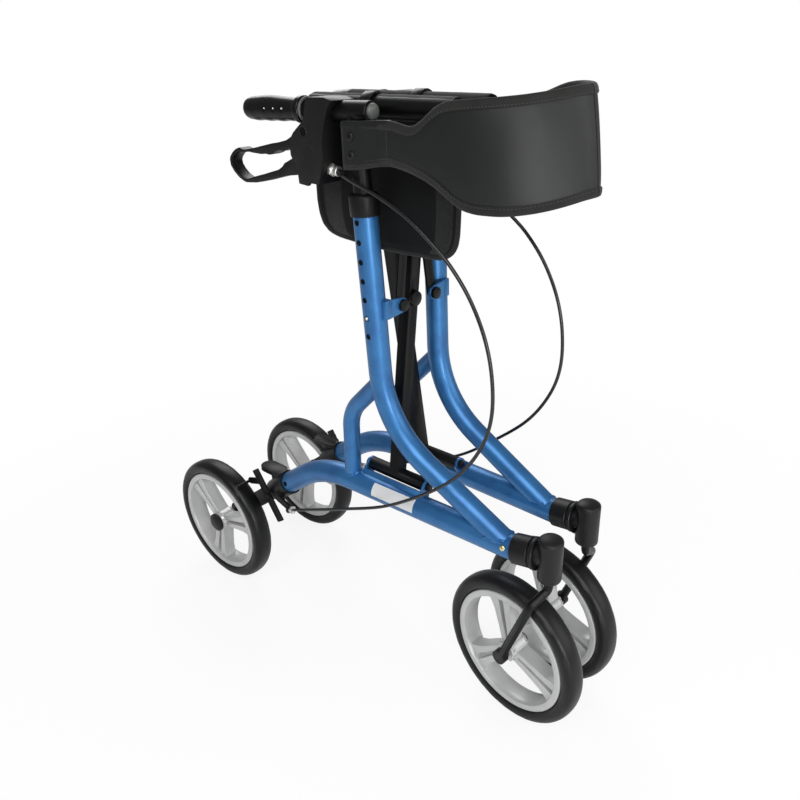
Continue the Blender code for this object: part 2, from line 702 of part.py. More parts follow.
def rear_socket(make, side, left):
    """A moulded socket on the rear end of the lower tube that carries the axle and the brake."""
    end, direction = socket_axis()
    start = end - direction * SLEEVE_START
    grow = LOWER_RADIUS + 0.0006
    length = SLEEVE_START + SLEEVE_REACH
    profile = ((0, grow), (0, SLEEVE_RADIUS), (length, SLEEVE_RADIUS * 0.9), (length, 0),
               (SLEEVE_START + CLEARANCE, 0), (SLEEVE_START + CLEARANCE, grow))
    solid = lathe(profile, start, direction)
    axle = (0.0, WHEEL_RADIUS)
    blade_y = (end.y - 0.0085, end.y + 0.0075)
    neck = (end + direction * (SLEEVE_REACH - 0.004))
    blade = prism(stadium((neck.x, neck.z), axle, 0.0125, 6), *blade_y)
    boss = rod((0, end.y - 0.012, WHEEL_RADIUS), (0, end.y + 0.010, WHEEL_RADIUS), 0.0150)
    pedal = prism(stadium(PEDAL_REAR, PEDAL_FRONT, 0.0125, 7), PEDAL_Z, PEDAL_Z + 0.006, plane="xy")
    stem = box((0.0950, 0.1130), (-0.0600, -0.0490), (0.1800, PEDAL_Z + 0.003))
    lug = rod((BRAKE_PIVOT.x, end.y - 0.010, BRAKE_PIVOT.y),
              (BRAKE_PIVOT.x, BRAKE_Y[1] + CLEARANCE, BRAKE_PIVOT.y), 0.0070)
    pin = rod((BRAKE_PIVOT.x, end.y - 0.010, BRAKE_PIVOT.y),
              (BRAKE_PIVOT.x, BRAKE_Y[0] - 0.0005, BRAKE_PIVOT.y), PIN_RADIUS)
    way = (Vector(CABLE_ROUTE[-1]) - CABLE_STOP).normalized()
    nut = rod(CABLE_STOP - way * 0.012, CABLE_STOP, 0.0048)
    arm_end = CABLE_STOP - way * 0.006
    arm = prism(stadium((0.1270, 0.1830), (arm_end.x, arm_end.z), 0.0055), -0.0775, -0.0745)
    foot = prism(stadium((0.1240, 0.1850), (0.1280, 0.1820), 0.0055), -0.0775, end.y - 0.012)
    make.node(f"rear_socket_{side}", solid, "black_plastic", left=left,
              joined=(blade, boss, pedal, stem, lug, pin, foot, arm, nut),
              cuts=(lower_solid(CLEARANCE),))


def brake_arm(make, side, left):
    """A bent strap on the socket's pin, with a rod across the tyre at its upper end."""
    outline = stadium(tuple(BRAKE_BOTTOM), tuple(BRAKE_TOP), BRAKE_HALF_WIDTH)
    solid = prism(outline, *BRAKE_Y)
    toe = prism(stadium(tuple(BRAKE_TOE_FROM), tuple(BRAKE_TOE), 0.0040), BRAKE_Y[0] + 0.0003,
                BRAKE_Y[1] - 0.0003)
    middle = (BRAKE_Y[0] + BRAKE_Y[1]) / 2
    bar = rod((BRAKE_TOE.x, middle, BRAKE_TOE.y), (BRAKE_TOE.x, BRAKE_ROD_END, BRAKE_TOE.y),
              BRAKE_ROD_RADIUS, 8)
    hole = rod((BRAKE_PIVOT.x, -0.09, BRAKE_PIVOT.y), (BRAKE_PIVOT.x, -0.06, BRAKE_PIVOT.y),
               PIN_RADIUS + 0.0004)
    pivot = (BRAKE_PIVOT.x, BRAKE_Y[0], BRAKE_PIVOT.y)
    make.node(f"brake_arm_{side}", solid, "black_metal", pivot=pivot, left=left, joined=(toe, bar),
              cuts=(hole,))


def rear_axle(make, side, left):
    end, direction = socket_axis()
    inner = end.y - 0.012 - CLEARANCE
    cap = -REAR_TRACK_HALF - RIM_WIDTH / 2 - 0.0022
    reach = inner - cap
    profile = ((0, 0), (0, AXLE_RADIUS + 0.003), (0.0035, AXLE_RADIUS + 0.003), (0.0035, AXLE_RADIUS),
               (reach, AXLE_RADIUS), (reach, 0.0147), (reach + 0.0035, 0.0147),
               (reach + 0.0065, 0.0095), (reach + 0.0065, 0))
    solid = lathe(profile, (0, inner, WHEEL_RADIUS), (0, -1, 0))
    make.node(f"rear_axle_{side}", solid, "black_plastic", left=left)


def tyre_mesh(y):
    """A solid tyre whose tread is flat across, with a flat facet lowest."""
    grow = 1 / math.cos(math.pi / WHEEL_SIDES)
    outer = WHEEL_RADIUS * grow
    inner = RIM_RADIUS + CLEARANCE * 1.5
    half = TYRE_WIDTH / 2
    profile = ((-half, inner), (-half, outer - 0.0085), (-TYRE_TREAD / 2 - 0.003, outer - 0.0015),
               (-TYRE_TREAD / 2, outer), (TYRE_TREAD / 2, outer),
               (TYRE_TREAD / 2 + 0.003, outer - 0.0015), (half, outer - 0.0085), (half, inner))
    return lathe(profile, (0, y, 0), (0, 1, 0), WHEEL_SIDES)


def spoke(angle, y):
    """Twin ribs as one tapered web with a long slot."""
    far = RIM_RADIUS - RIM_DEPTH + 0.002
    web = prism(((0.008, -SPOKE_HUB_HALF), (far, -SPOKE_RIM_HALF), (far, SPOKE_RIM_HALF),
                 (0.008, SPOKE_HUB_HALF)), y - SPOKE_THICKNESS / 2, y + SPOKE_THICKNESS / 2)
    slot = prism(((SPOKE_SLOT_START, -SPOKE_SLOT_HALF), (SPOKE_SLOT_END, -SPOKE_SLOT_HALF * 1.5),
                  (SPOKE_SLOT_END, SPOKE_SLOT_HALF * 1.5), (SPOKE_SLOT_START, SPOKE_SLOT_HALF)),
                 y - SPOKE_THICKNESS, y + SPOKE_THICKNESS)
    for mesh in (web, slot):
        mesh.transform(Matrix.Rotation(angle, 4, "Y"))
    return web, slot


def rim_pieces(y, spin, hub_length):
    lip = RIM_WIDTH / 2
    deep = RIM_RADIUS - RIM_DEPTH
    ring = lathe(((-lip, RIM_RADIUS), (lip, RIM_RADIUS), (lip, deep + RIM_LIP), (0.004, deep),
                  (-0.004, deep), (-lip, deep + RIM_LIP)), (0, y, 0), (0, 1, 0), WHEEL_SIDES)
    hub = rod((0, y - hub_length / 2, 0), (0, y + hub_length / 2, 0), HUB_RADIUS, TUBE_SIDES)
    joined = [hub]
    cuts = []
    for index in range(SPOKE_GROUPS):
        web, slot = spoke(spin + 2 * math.pi * index / SPOKE_GROUPS, y)
        joined.append(web)
        cuts.append(slot)
    cuts.append(rod((0, y - 0.03, 0), (0, y + 0.03, 0), AXLE_RADIUS + 0.0006))
    return ring, joined, cuts


def rear_wheel(make, side, left):
    lift = Matrix.Translation((0, 0, WHEEL_RADIUS))
    centre = (0, -REAR_TRACK_HALF, WHEEL_RADIUS)
    tyre = tyre_mesh(-REAR_TRACK_HALF)
    ring, joined, cuts = rim_pieces(-REAR_TRACK_HALF, REAR_SPIN, RIM_WIDTH)
    for mesh in (tyre, ring, *joined, *cuts):
        mesh.transform(lift)
    make.node(f"rear_tyre_{side}", tyre, "tyre_rubber", pivot=centre, left=left)
    make.node(f"rear_rim_{side}", ring, "rim_silver", pivot=centre, left=left, joined=joined, cuts=cuts)


def front_head(make, side, left):
    """A plug and collar in the lower tube's front end, and the caster's upright housing."""
    end = on_frame(LOWER_FRONT)
    stem = Vector((STEM_X, -STEM_Y, 0))
    way = (end - on_frame(LOWER_CORNER)).normalized()
    collar_start = CLEARANCE
    reach = STEM_X - end.x
    profile = ((-0.025, 0), (-0.025, LOWER_BORE - 0.0005), (collar_start, LOWER_BORE - 0.0005),
               (collar_start, 0.0174), (0.0235, 0.0174), (0.0245, 0.0150), (0.0265, 0.0150),
               (0.0270, 0.0190), (0.0310, 0.0190), (0.0320, 0.0130), (reach, 0.0110), (reach, 0))
    solid = lathe(profile, end, way, TUBE_SIDES)
    housing = lathe(((0, 0), (0, HEAD_RADIUS - 0.001), (0.001, HEAD_RADIUS),
                     (HEAD_TOP - HEAD_BOTTOM, HEAD_RADIUS),
                     (HEAD_TOP - HEAD_BOTTOM + HEAD_DOME * 0.6, HEAD_RADIUS * 0.75),
                     (HEAD_TOP - HEAD_BOTTOM + HEAD_DOME, HEAD_RADIUS * 0.35),
                     (HEAD_TOP - HEAD_BOTTOM + HEAD_DOME, 0)),
                    (stem.x, stem.y, HEAD_BOTTOM), (0, 0, 1))
    bore = rod((stem.x, stem.y, HEAD_BOTTOM - 0.01), (stem.x, stem.y, 0.268), FORK_ROD_RADIUS + 0.0006)
    make.node(f"front_head_{side}", solid, "black_plastic", left=left, joined=(housing,), cuts=(bore,))


def caster_place(obj, left, offset):
    """Turns a caster piece about its stem, with offset from the stem's axis."""
    stem = Vector((STEM_X, STEM_Y if left else -STEM_Y, 0))
    obj.rotation_euler = (0, 0, CASTER_TURN)
    obj.location = stem + Matrix.Rotation(CASTER_TURN, 3, "Z") @ Vector(offset)


def caster(make, side, left):
    axle = Vector((-CASTER_TRAIL, 0, WHEEL_RADIUS))
    path = [Vector((0, 0, 0.2670)), Vector((0, 0, 0.2200)), Vector((-0.006, -FORK_OFFSET, 0.2065)),
            Vector((axle.x, -FORK_OFFSET, axle.z - 0.0021))]
    stem = tube(rounded_path(path, 0.010, math.radians(18)), FORK_ROD_RADIUS, SMALL_SIDES)
    eye = 0.009
    reach = FORK_OFFSET + eye / 2 + TYRE_WIDTH / 2 + 0.001
    profile = ((0, 0), (0, 0.0095), (eye, 0.0095), (eye, AXLE_RADIUS), (reach, AXLE_RADIUS),
               (reach, AXLE_RADIUS + 0.003), (reach + 0.004, AXLE_RADIUS + 0.003), (reach + 0.004, 0))
    pin = lathe(profile, (axle.x, -FORK_OFFSET - eye / 2, axle.z), (0, 1, 0), SMALL_SIDES)
    fork = make.node(f"caster_fork_{side}", pin, "black_metal", left=left, joined=(stem,))
    caster_place(fork, left, (0, 0, 0))
    tyre = make.node(f"front_tyre_{side}", tyre_mesh(0), "tyre_rubber", left=left)
    ring, joined, cuts = rim_pieces(0, FRONT_SPIN, TYRE_WIDTH)
    rim = make.node(f"front_rim_{side}", ring, "rim_silver", left=left, joined=joined, cuts=cuts)
    for piece in (tyre, rim):
        caster_place(piece, left, axle)


def fold_link(make, side, left):
    """A flat link on the side frame's tab, with its upper stub resting on the brace."""
    top = link_top()
    solid = prism(stadium(tuple(LINK_PIVOT), tuple(top), LINK_HALF_WIDTH), *LINK_X, plane="yz")
    front = TAB_X[1] + CLEARANCE
    pin = rod((LINK_X[0] + 0.001, *LINK_PIVOT), (front + 0.002, *LINK_PIVOT), PIN_RADIUS)
    head = rod((front, *LINK_PIVOT), (front + 0.004, *LINK_PIVOT), 0.0075)
    seat = ARM_A_X[1] if left else ARM_B_X[1]
    stub = rod((seat + CLEARANCE, *top), (LINK_X[1] - 0.001, *top), PIN_RADIUS)
    pivot = (LINK_X[0], *LINK_PIVOT)
    make.node(f"fold_link_{side}", solid, "black_metal", pivot=pivot, left=left, joined=(pin, head, stub))


def brace_arm(make, name, x, foot, top, with_pin):
    """A flat bar from a foot tube on one side frame to an eye round the seat rail of the other."""
    way = (top - foot).normalized()
    across = Vector((way.y, -way.x)) * ARM_WIDTH / 2
    low = foot + way * 0.002
    high = top - way * (EYE_RADIUS - 0.005)
    bar = prism([tuple(low - across), tuple(low + across), tuple(high + across), tuple(high - across)],
                *x, plane="yz")
    whole = CHANNEL_X[1] - CHANNEL_X[0]
    head = 0.003
    gap = EAR_THICKNESS + 2 * CLEARANCE
    half = ((0, 0), (0, PIN_HEAD_RADIUS), (head, PIN_HEAD_RADIUS), (head, PIN_RADIUS),
            (head + CLEARANCE + gap, PIN_RADIUS), (head + CLEARANCE + gap, ARM_FOOT_RADIUS))
    span = whole + 2 * (head + CLEARANCE)
    profile = (*half, *[(span - along, radius) for along, radius in reversed(half)])
    foot_tube = lathe(profile, (CHANNEL_X[0] - head - CLEARANCE, *foot), (1, 0, 0), SMALL_SIDES)
    eye = rod((x[0] + 0.0004, *top), (x[1] - 0.0004, *top), EYE_RADIUS, TUBE_SIDES)
    bore = rod((x[0] - 0.01, *top), (x[1] + 0.01, *top), EYE_BORE, TUBE_SIDES)
    joined = [foot_tube, eye]
    cuts = [bore]
    centre = brace_centre()
    if with_pin:
        joined.append(rod((x[0] + 0.002, *centre), (ARM_A_X[1] + 0.004, *centre), 0.005))
        joined.append(rod((ARM_A_X[1] + CLEARANCE, *centre), (ARM_A_X[1] + 0.005, *centre), KNOB_RADIUS))
    else:
        cuts.insert(0, rod((x[0] - 0.01, *centre), (x[1] + 0.01, *centre), 0.0056))
    pivot = (x[0], *centre) if with_pin else (x[0], *foot)
    make.node(name, bar, "black_metal", pivot=pivot, joined=joined, cuts=cuts)


def seat_rail(make, side, left):
    centre = rail_centre()
    solid = sleeve((RAIL_X[0], *centre), (RAIL_X[1], *centre), RAIL_RADIUS, RAIL_BORE)
    fin_y = (centre.x + (RAIL_RADIUS + RAIL_BORE) / 2, SEAT_HINGE_Y - SEAT_THICKNESS - 0.0005)
    fin = box(SEAT_X, fin_y, (centre.y - 0.001, centre.y + 0.001))
    eye = ARM_A_X if left else ARM_B_X
    notch = box((eye[0] - 0.001, eye[1] + 0.001), (centre.x + RAIL_RADIUS, 0.0), (0.70, 0.78))
    pivot = (RAIL_X[0], *centre)
    make.node(f"seat_rail_{side}", solid, "black_metal", pivot=pivot, left=left, joined=(fin,),
              cuts=(notch,))


def seat_panels(make, side, left):
    """Two fabric panels that hang in a V when folded and lie nearly flat when open."""
    hinge = Vector((SEAT_HINGE_Y, rail_centre().y))
    down = Vector((math.sin(SEAT_FOLD), -math.cos(SEAT_FOLD)))
    under = Vector((-math.cos(SEAT_FOLD), -math.sin(SEAT_FOLD)))
    near = 0.0002
    far = near + SEAT_THICKNESS
    start = hinge + down * CLEARANCE
    bottom = hinge + down * SEAT_PANEL
    stop = bottom - down * CLEARANCE
    outer = [start + under * near, start + under * far, stop + under * far, stop + under * near]
    up = Vector((down.x, -down.y))
    side_way = Vector((-under.x, under.y))
    foot = bottom + up * CLEARANCE
    top = bottom + up * SEAT_PANEL
    inner = [foot + side_way * near, foot + side_way * far, top + side_way * far, top + side_way * near]
    panel_names = (("seat_outer", outer, hinge), ("seat_inner", inner, bottom))
    for name, outline, pivot in panel_names:
        solid = prism([tuple(point) for point in outline], *SEAT_X, plane="yz")
        make.node(f"{name}_{side}", solid, "fabric", pivot=(SEAT_X[0], *pivot), left=left)


def bag_pockets(make, side, left):
    """Slim pockets that hang from the seat rail, behind and ahead of the cross brace."""
    rail = rail_centre()
    top = rail.y - RAIL_RADIUS - CLEARANCE
    across = (rail.x + POCKET_Y[0], rail.x + POCKET_Y[1])
    spans = (("bag_rear", POCKET_REAR_X, 0), ("bag_front", POCKET_FRONT_X, 1))
    for name, span, outer_end in spans:
        low = POCKET_BOTTOM
        corner = POCKET_CORNER
        outline = [(span[0], top), (span[1], top)]
        if outer_end:
            outline = [(span[0], top), (span[1], top)]
            outline += arc((span[1] - corner, low + corner), corner, 0, -90, 5)
            outline += [(span[0], low)]
        else:
            outline = [(span[1], top), (span[0], top)]
            outline += arc((span[0] + corner, low + corner), corner, 180, 270, 5)
            outline += [(span[1], low)]
        solid = prism(outline, *across)
        make.node(f"{name}_{side}", solid, "fabric", left=left)


BAND_PLAN = ((0.3428, -0.0834), (0.3530, -0.0834), (0.3900, -0.0838), (0.4400, -0.0838), (0.4800, -0.0800),
             (0.5120, -0.0700), (0.5370, -0.0530), (0.5560, -0.0320), (0.5690, -0.0130),
             (0.5730, -0.0009))
BAND_TOP = (0.7290, 0.7310, 0.7345, 0.7365, 0.7540, 0.7550, 0.7585, 0.7615, 0.7640, 0.7645)
BAND_BOTTOM = (0.6850, 0.6840, 0.6840, 0.6810, 0.6540, 0.6480, 0.6530, 0.6600, 0.6660, 0.6690)


def band_half(make, side, left):
    """Half of the padded backrest strap, from its bracket to the centre."""
    plan = [Vector((x, y, 0)) for x, y in BAND_PLAN]
    work = bmesh.new()
    rings = []
    for index, point in enumerate(plan):
        ahead = plan[min(index + 1, len(plan) - 1)] - plan[max(index - 1, 0)]
        if index == len(plan) - 1:
            ahead = Vector((0, 1, 0))
        thick = BAND_THICKNESS if index else BAND_END_THICKNESS
        out = Vector((ahead.y, -ahead.x, 0)).normalized() * thick / 2
        top = BAND_TOP[index]
        low = BAND_BOTTOM[index]
        ring = []
        for shift, height in ((out * 0.5, top), (out, top - 0.004), (out, low + 0.004),
                              (out * 0.5, low), (-out * 0.5, low), (-out, low + 0.004),
                              (-out, top - 0.004), (-out * 0.5, top)):
            ring.append(work.verts.new((point.x + shift.x, point.y + shift.y, height)))
        rings.append(ring)
    for low, high in zip(rings, rings[1:]):
        for index in range(8):
            after = (index + 1) % 8
            work.faces.new((low[index], low[after], high[after], high[index]))
    work.faces.new(rings[0])
    work.faces.new(rings[-1])
    bmesh.ops.recalc_face_normals(work, faces=work.faces)
    mesh = bpy.data.meshes.new("band")
    work.to_mesh(mesh)
    work.free()
    pivot = (BAND_HINGE_X, BAND_PLAN[0][1], BRACKET_Z[0])
    make.node(f"backrest_{side}", mesh, "fabric", pivot=pivot, left=left)


SIDE_PARTS = (main_tube, lower_tube, rear_strut, brace_channel, post_collar, inner_post,
              spring_button, handle_bar, grip, lever_housing, brake_lever, backrest_bracket,
              brake_cable, rear_socket, brake_arm, rear_axle, rear_wheel, front_head, caster,
              fold_link, seat_rail, seat_panels, bag_pockets, band_half)


def main():
    clear_scene()
    make = Builder()
    for side, left in (("right", False), ("left", True)):
        for part in SIDE_PARTS:
            part(make, side, left)
    foot = BRACE_FOOT
    top = rail_centre()
    brace_arm(make, "brace_arm_front", ARM_A_X, foot, Vector((-top.x, top.y)), False)
    brace_arm(make, "brace_arm_rear", ARM_B_X, Vector((-foot.x, foot.y)), top, True)


main()
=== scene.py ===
import json
from math import copysign, cos, exp, hypot, pi, radians, sin, tan, tau

import bmesh
import bpy
from mathutils import Matrix, Vector, noise

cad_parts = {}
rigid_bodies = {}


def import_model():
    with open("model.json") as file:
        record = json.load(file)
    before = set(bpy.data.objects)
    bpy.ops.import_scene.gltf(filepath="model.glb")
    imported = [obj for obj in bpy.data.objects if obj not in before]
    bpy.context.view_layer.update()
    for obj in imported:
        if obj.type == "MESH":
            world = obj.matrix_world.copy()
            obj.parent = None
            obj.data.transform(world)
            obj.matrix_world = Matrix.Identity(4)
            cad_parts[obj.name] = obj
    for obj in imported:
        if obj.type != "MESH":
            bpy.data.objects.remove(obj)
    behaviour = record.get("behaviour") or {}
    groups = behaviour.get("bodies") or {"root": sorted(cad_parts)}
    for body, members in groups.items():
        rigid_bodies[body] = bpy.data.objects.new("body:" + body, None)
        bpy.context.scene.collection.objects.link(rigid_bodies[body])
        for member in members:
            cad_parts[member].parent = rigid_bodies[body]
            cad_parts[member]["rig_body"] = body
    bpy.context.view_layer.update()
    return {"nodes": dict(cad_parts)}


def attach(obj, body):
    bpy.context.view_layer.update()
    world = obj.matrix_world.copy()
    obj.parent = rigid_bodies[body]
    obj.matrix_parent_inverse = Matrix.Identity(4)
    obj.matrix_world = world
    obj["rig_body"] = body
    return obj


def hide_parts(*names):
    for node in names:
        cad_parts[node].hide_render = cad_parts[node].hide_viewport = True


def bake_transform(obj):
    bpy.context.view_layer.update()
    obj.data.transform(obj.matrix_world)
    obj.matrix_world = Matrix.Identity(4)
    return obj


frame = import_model()
nodes = frame["nodes"]
SIDES = (("right", -1), ("left", 1))

# Sizes in metres that several pieces share. x is measured from the rear axle and z from the floor.
CENTRE_X = 0.26213
WHEEL_RADIUS = 0.1016
RIM_RADIUS = 0.0832
REAR_WHEEL_Y = 0.090
STEM_X = 0.5725
STEM_Y = 0.0445
TRAIL = 0.0487
MAIN_RADIUS = 0.0143
LOWER_RADIUS = 0.0158
STRUT_RADIUS = 0.0111
POST_X = 0.3242
POST_Z = 0.6400
BRAKE_Y = 0.0777
RAIL_Y = 0.0295
RAIL_Z = 0.7392
COVER_RADIUS = 0.0134
BAG_TOP = 0.7262

# Points (x, z) of the side frame's tubes.
MAIN_BEND = (0.3341, 0.3644)
MAIN_FOOT = (0.5135, 0.2627)
LOWER_REAR = (0.1200, 0.1934)
LOWER_BEND = (0.2121, 0.2600)
LOWER_FRONT = (0.5275, 0.2600)
STRUT_FOOT = (0.2690, 0.2640)
STRUT_KNEE = (0.2745, 0.3660)


def P(x, y, z):
    """A point measured from the rear axle, in the frame's coordinates."""
    return Vector((x - CENTRE_X, y, z))


def frame_y(x, z):
    """A side frame's distance from the middle: it toes in forwards and leans out upwards."""
    return (0.1117 - 0.0476 * (x - 0.3) + 0.0487 * (z - 0.4)) / 2


def on_frame(place, s):
    x, z = place
    return P(x, s * frame_y(x, z), z)


def make_camera():
    camera = bpy.data.cameras.new("camera")
    camera.sensor_width = 36
    camera.lens = 33.12
    camera.shift_x = -0.04658
    camera.shift_y = -0.03085
    view = placed("camera", camera)
    right = Vector((0.78132283, 0.62399017, -0.01307278))
    up = Vector((-0.24606868, 0.32722625, 0.91234488))
    back = Vector((0.573572, -0.70961909, 0.40921378))
    turn = Matrix((right, up, back)).transposed().to_4x4()
    view.matrix_world = Matrix.Translation(P(0.90086, -0.65055, 0.79923)) @ turn
    bpy.context.scene.camera = view


# Materials
COAT_ROUGHNESS = 0.22
ROUGHNESS_SPREAD = 0.12


def new_material(name, colour, rough, metal=0.0, coat=0.0, sheen=0.0, shine=0.5):
    made = bpy.data.materials.new(name)
    made.use_nodes = True
    tree = made.node_tree
    shader = tree.nodes["Principled BSDF"]
    values = {"Base Color": (*colour, 1), "Roughness": rough, "Metallic": metal,
              "Coat Weight": coat, "Coat Roughness": COAT_ROUGHNESS, "Sheen Weight": sheen,
              "Specular IOR Level": shine}
    for entry, value in values.items():
        shader.inputs[entry].default_value = value
    return made, tree, shader


def node(tree, kind, **values):
    """A new node whose inputs and settings are given by name."""
    made = tree.nodes.new(f"ShaderNode{kind}")
    for key, value in values.items():
        if key in made.inputs:
            made.inputs[key].default_value = value
        else:
            setattr(made, key, value)
    return made


def math_node(tree, operation, second=None):
    made = node(tree, "Math", operation=operation)
    if second is not None:
        made.inputs[1].default_value = second
    return made


def ramp_node(tree, low_at, low, high_at, high):
    """A colour ramp between two colours."""
    made = node(tree, "ValToRGB")
    ends = made.color_ramp.elements
    ends[0].position = low_at
    ends[0].color = (*low, 1)
    ends[1].position = high_at
    ends[1].color = (*high, 1)
    return made


def wire(tree, *links):
    """Joins sockets, each link being a node, its output, another node and its input."""
    for source, output, target, entry in links:
        tree.links.new(source.outputs[output], target.inputs[entry])


def grainy(name, colour, rough, metal=0.0, coat=0.0, scale=900.0, bump=0.15, dist=0.0003,
           vary=0.25, patch=18.0, shine=0.5):
    """A surface with fine relief, and with slow changes in colour and roughness."""
    made, tree, shader = new_material(name, colour, rough, metal, coat, shine=shine)
    place = node(tree, "TexCoord")
    slow = node(tree, "TexNoise", Scale=patch, Detail=3.0)
    fine = node(tree, "TexNoise", Scale=scale, Detail=2.0)
    ramp = ramp_node(tree, 0.3, [c * (1 - vary) for c in colour],
                     0.7, [min(1.0, c * (1 + vary)) for c in colour])
    spread = node(tree, "MapRange", **{"To Min": max(0.02, rough - ROUGHNESS_SPREAD),
                                       "To Max": min(1.0, rough + ROUGHNESS_SPREAD)})
    relief = node(tree, "Bump", Strength=bump, Distance=dist)
    wire(tree, (place, "Object", slow, "Vector"), (place, "Object", fine, "Vector"),
         (slow, "Fac", ramp, "Fac"), (ramp, "Color", shader, "Base Color"),
         (slow, "Fac", spread, "Value"), (spread, "Result", shader, "Roughness"),
         (fine, "Fac", relief, "Height"), (relief, "Normal", shader, "Normal"))
    return made


def flake_paint(name, dark, light, rough):
    """Metallic paint with a fine sparkle of flakes under a clear coat."""
    made, tree, shader = new_material(name, light, rough, 0.60, 0.25)
    place = node(tree, "TexCoord")
    flake = node(tree, "TexVoronoi", Scale=2600.0)
    slow = node(tree, "TexNoise", Scale=26.0, Detail=4.0)
    mix = math_node(tree, "MULTIPLY_ADD", 0.35)
    ramp = ramp_node(tree, 0.15, dark, 0.75, light)
    peel = node(tree, "TexNoise", Scale=260.0, Detail=2.0)
    relief = node(tree, "Bump", Strength=0.10, Distance=0.0004)
    wire(tree, (place, "Object", flake, "Vector"), (place, "Object", slow, "Vector"),
         (place, "Object", peel, "Vector"), (flake, "Color", mix, 0), (slow, "Fac", mix, 2),
         (mix, "Value", ramp, "Fac"), (ramp, "Color", shader, "Base Color"),
         (peel, "Fac", relief, "Height"), (relief, "Normal", shader, "Normal"))
    return made


def woven(name, colour, rough, pitch, depth, sheen, holes=0.0, shine=0.4):
    """Cloth whose threads run along X and Z, with dark dots where it is a mesh."""
    made, tree, shader = new_material(name, colour, rough, sheen=sheen, shine=shine)
    place = node(tree, "TexCoord")
    split = node(tree, "SeparateXYZ")
    along = math_node(tree, "ADD")
    wire(tree, (place, "Object", split, "Vector"), (split, "X", along, 0), (split, "Y", along, 1))
    product = math_node(tree, "MULTIPLY")
    for entry, (source, output) in enumerate(((along, "Value"), (split, "Z"))):
        scaled = math_node(tree, "MULTIPLY", tau / pitch)
        wave = math_node(tree, "SINE")
        wire(tree, (source, output, scaled, 0), (scaled, "Value", wave, 0),
             (wave, "Value", product, entry))
    slow = node(tree, "TexNoise", Scale=30.0, Detail=4.0)
    both = math_node(tree, "MULTIPLY_ADD", 0.25 + holes)
    ramp = ramp_node(tree, 0.30, [c * (0.25 if holes else 0.7) for c in colour],
                     0.70, [c * 1.5 for c in colour])
    relief = node(tree, "Bump", Strength=0.5, Distance=depth)
    wire(tree, (place, "Object", slow, "Vector"), (product, "Value", both, 0),
         (slow, "Fac", both, 2), (both, "Value", ramp, "Fac"),
         (ramp, "Color", shader, "Base Color"), (product, "Value", relief, "Height"),
         (relief, "Normal", shader, "Normal"))
    return made


BLUE = flake_paint("blue_paint", (0.007, 0.044, 0.185), (0.030, 0.160, 0.385), 0.42)
PLASTIC = grainy("black_moulding", (0.0045, 0.0045, 0.005), 0.44, bump=0.22, scale=1400,
                 shine=0.30)
GRIP = grainy("grip_rubber", (0.0022, 0.0022, 0.0025), 0.26, bump=0.06, scale=700, shine=0.24)
BLACK_METAL = grainy("black_coat", (0.0024, 0.0024, 0.0027), 0.38, bump=0.12, scale=500,
                     shine=0.22)
TYRE = grainy("tyre_rubber", (0.0034, 0.0034, 0.0037), 0.38, bump=0.30, scale=420, dist=0.0004,
              shine=0.30)
SILVER = grainy("silver_paint", (0.49, 0.495, 0.49), 0.36, 0.40, 0.1, bump=0.05, scale=1800,
                vary=0.06, patch=40)
STEEL = grainy("plated_steel", (0.66, 0.65, 0.62), 0.42, 1.0, bump=0.05, vary=0.1)
BRASS = grainy("brass_rivet", (0.78, 0.68, 0.36), 0.30, 1.0, bump=0.05, vary=0.1)
CABLE = grainy("cable_jacket", (0.006, 0.006, 0.0065), 0.26, bump=0.10, scale=1200)
PLUG = grainy("bar_plug", (0.10, 0.105, 0.10), 0.40, bump=0.10)
# Pale grey film: the label's own colour, and also the painted highlight of the grip's dots.
LABEL_AND_GLINT = grainy("label_film_and_painted_glints", (0.62, 0.63, 0.64), 0.45, bump=0.03, scale=800, vary=0.03)
# Near-black and matte: painted shade, drawn as flat dark discs where the holes, the pivot and the
# screw sockets are. It also colours the rear rivet.
DARK = grainy("painted_hole_shade_and_rear_rivet", (0.003, 0.003, 0.003), 0.8, bump=0.1, shine=0.1)
COATED = woven("coated_cloth", (0.0024, 0.0029, 0.0030), 0.42, 0.0011, 0.00005, 0.02, shine=0.42)
WEBBING = woven("binding_tape", (0.0095, 0.0098, 0.0092), 0.70, 0.0016, 0.0002, 0.10, shine=0.2)
NYLON = woven("bag_cloth", (0.0022, 0.0024, 0.0026), 0.60, 0.0013, 0.0001, 0.03, shine=0.16)
MESH = woven("mesh_cloth", (0.010, 0.0105, 0.010), 0.70, 0.0026, 0.0006, 0.12, holes=0.35,
             shine=0.2)
STITCH = grainy("thread", (0.040, 0.041, 0.038), 0.6, bump=0.2, scale=2500)
SLOTS = {material: slot for slot, materials in (
    ("frame_blue", (BLUE,)), ("tyre_rubber", (TYRE,)), ("rim_silver", (SILVER,)),
    ("steel", (STEEL, BRASS)), ("black_metal", (BLACK_METAL,)),
    ("black_plastic", (PLASTIC, GRIP, CABLE, PLUG, LABEL_AND_GLINT, DARK)),
    ("fabric", (COATED, WEBBING, STITCH))) for material in materials}


# Mesh helpers
def placed(name, data):
    made = bpy.data.objects.new(name, data)
    bpy.context.scene.collection.objects.link(made)
    return made


def add(name, mesh, material, body, smooth=35.0, replaces=(), slot=None):
    """Links a mesh as a piece that rides on a body and stands for the named nodes.

    Its slot, where none is given, is looked up from its material but not kept.
    """
    if material is not None:
        mesh.materials.clear()
        mesh.materials.append(material)
    made = placed(name, mesh)
    mesh.shade_smooth()
    if smooth < 180:
        mesh.set_sharp_from_angle(angle=radians(smooth))
    if body:
        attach(made, body)
    slot or SLOTS[material]
    if replaces:
        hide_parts(*replaces)
    return made


def finish_mesh(work):
    bmesh.ops.recalc_face_normals(work, faces=work.faces)
    return plain_mesh(work)


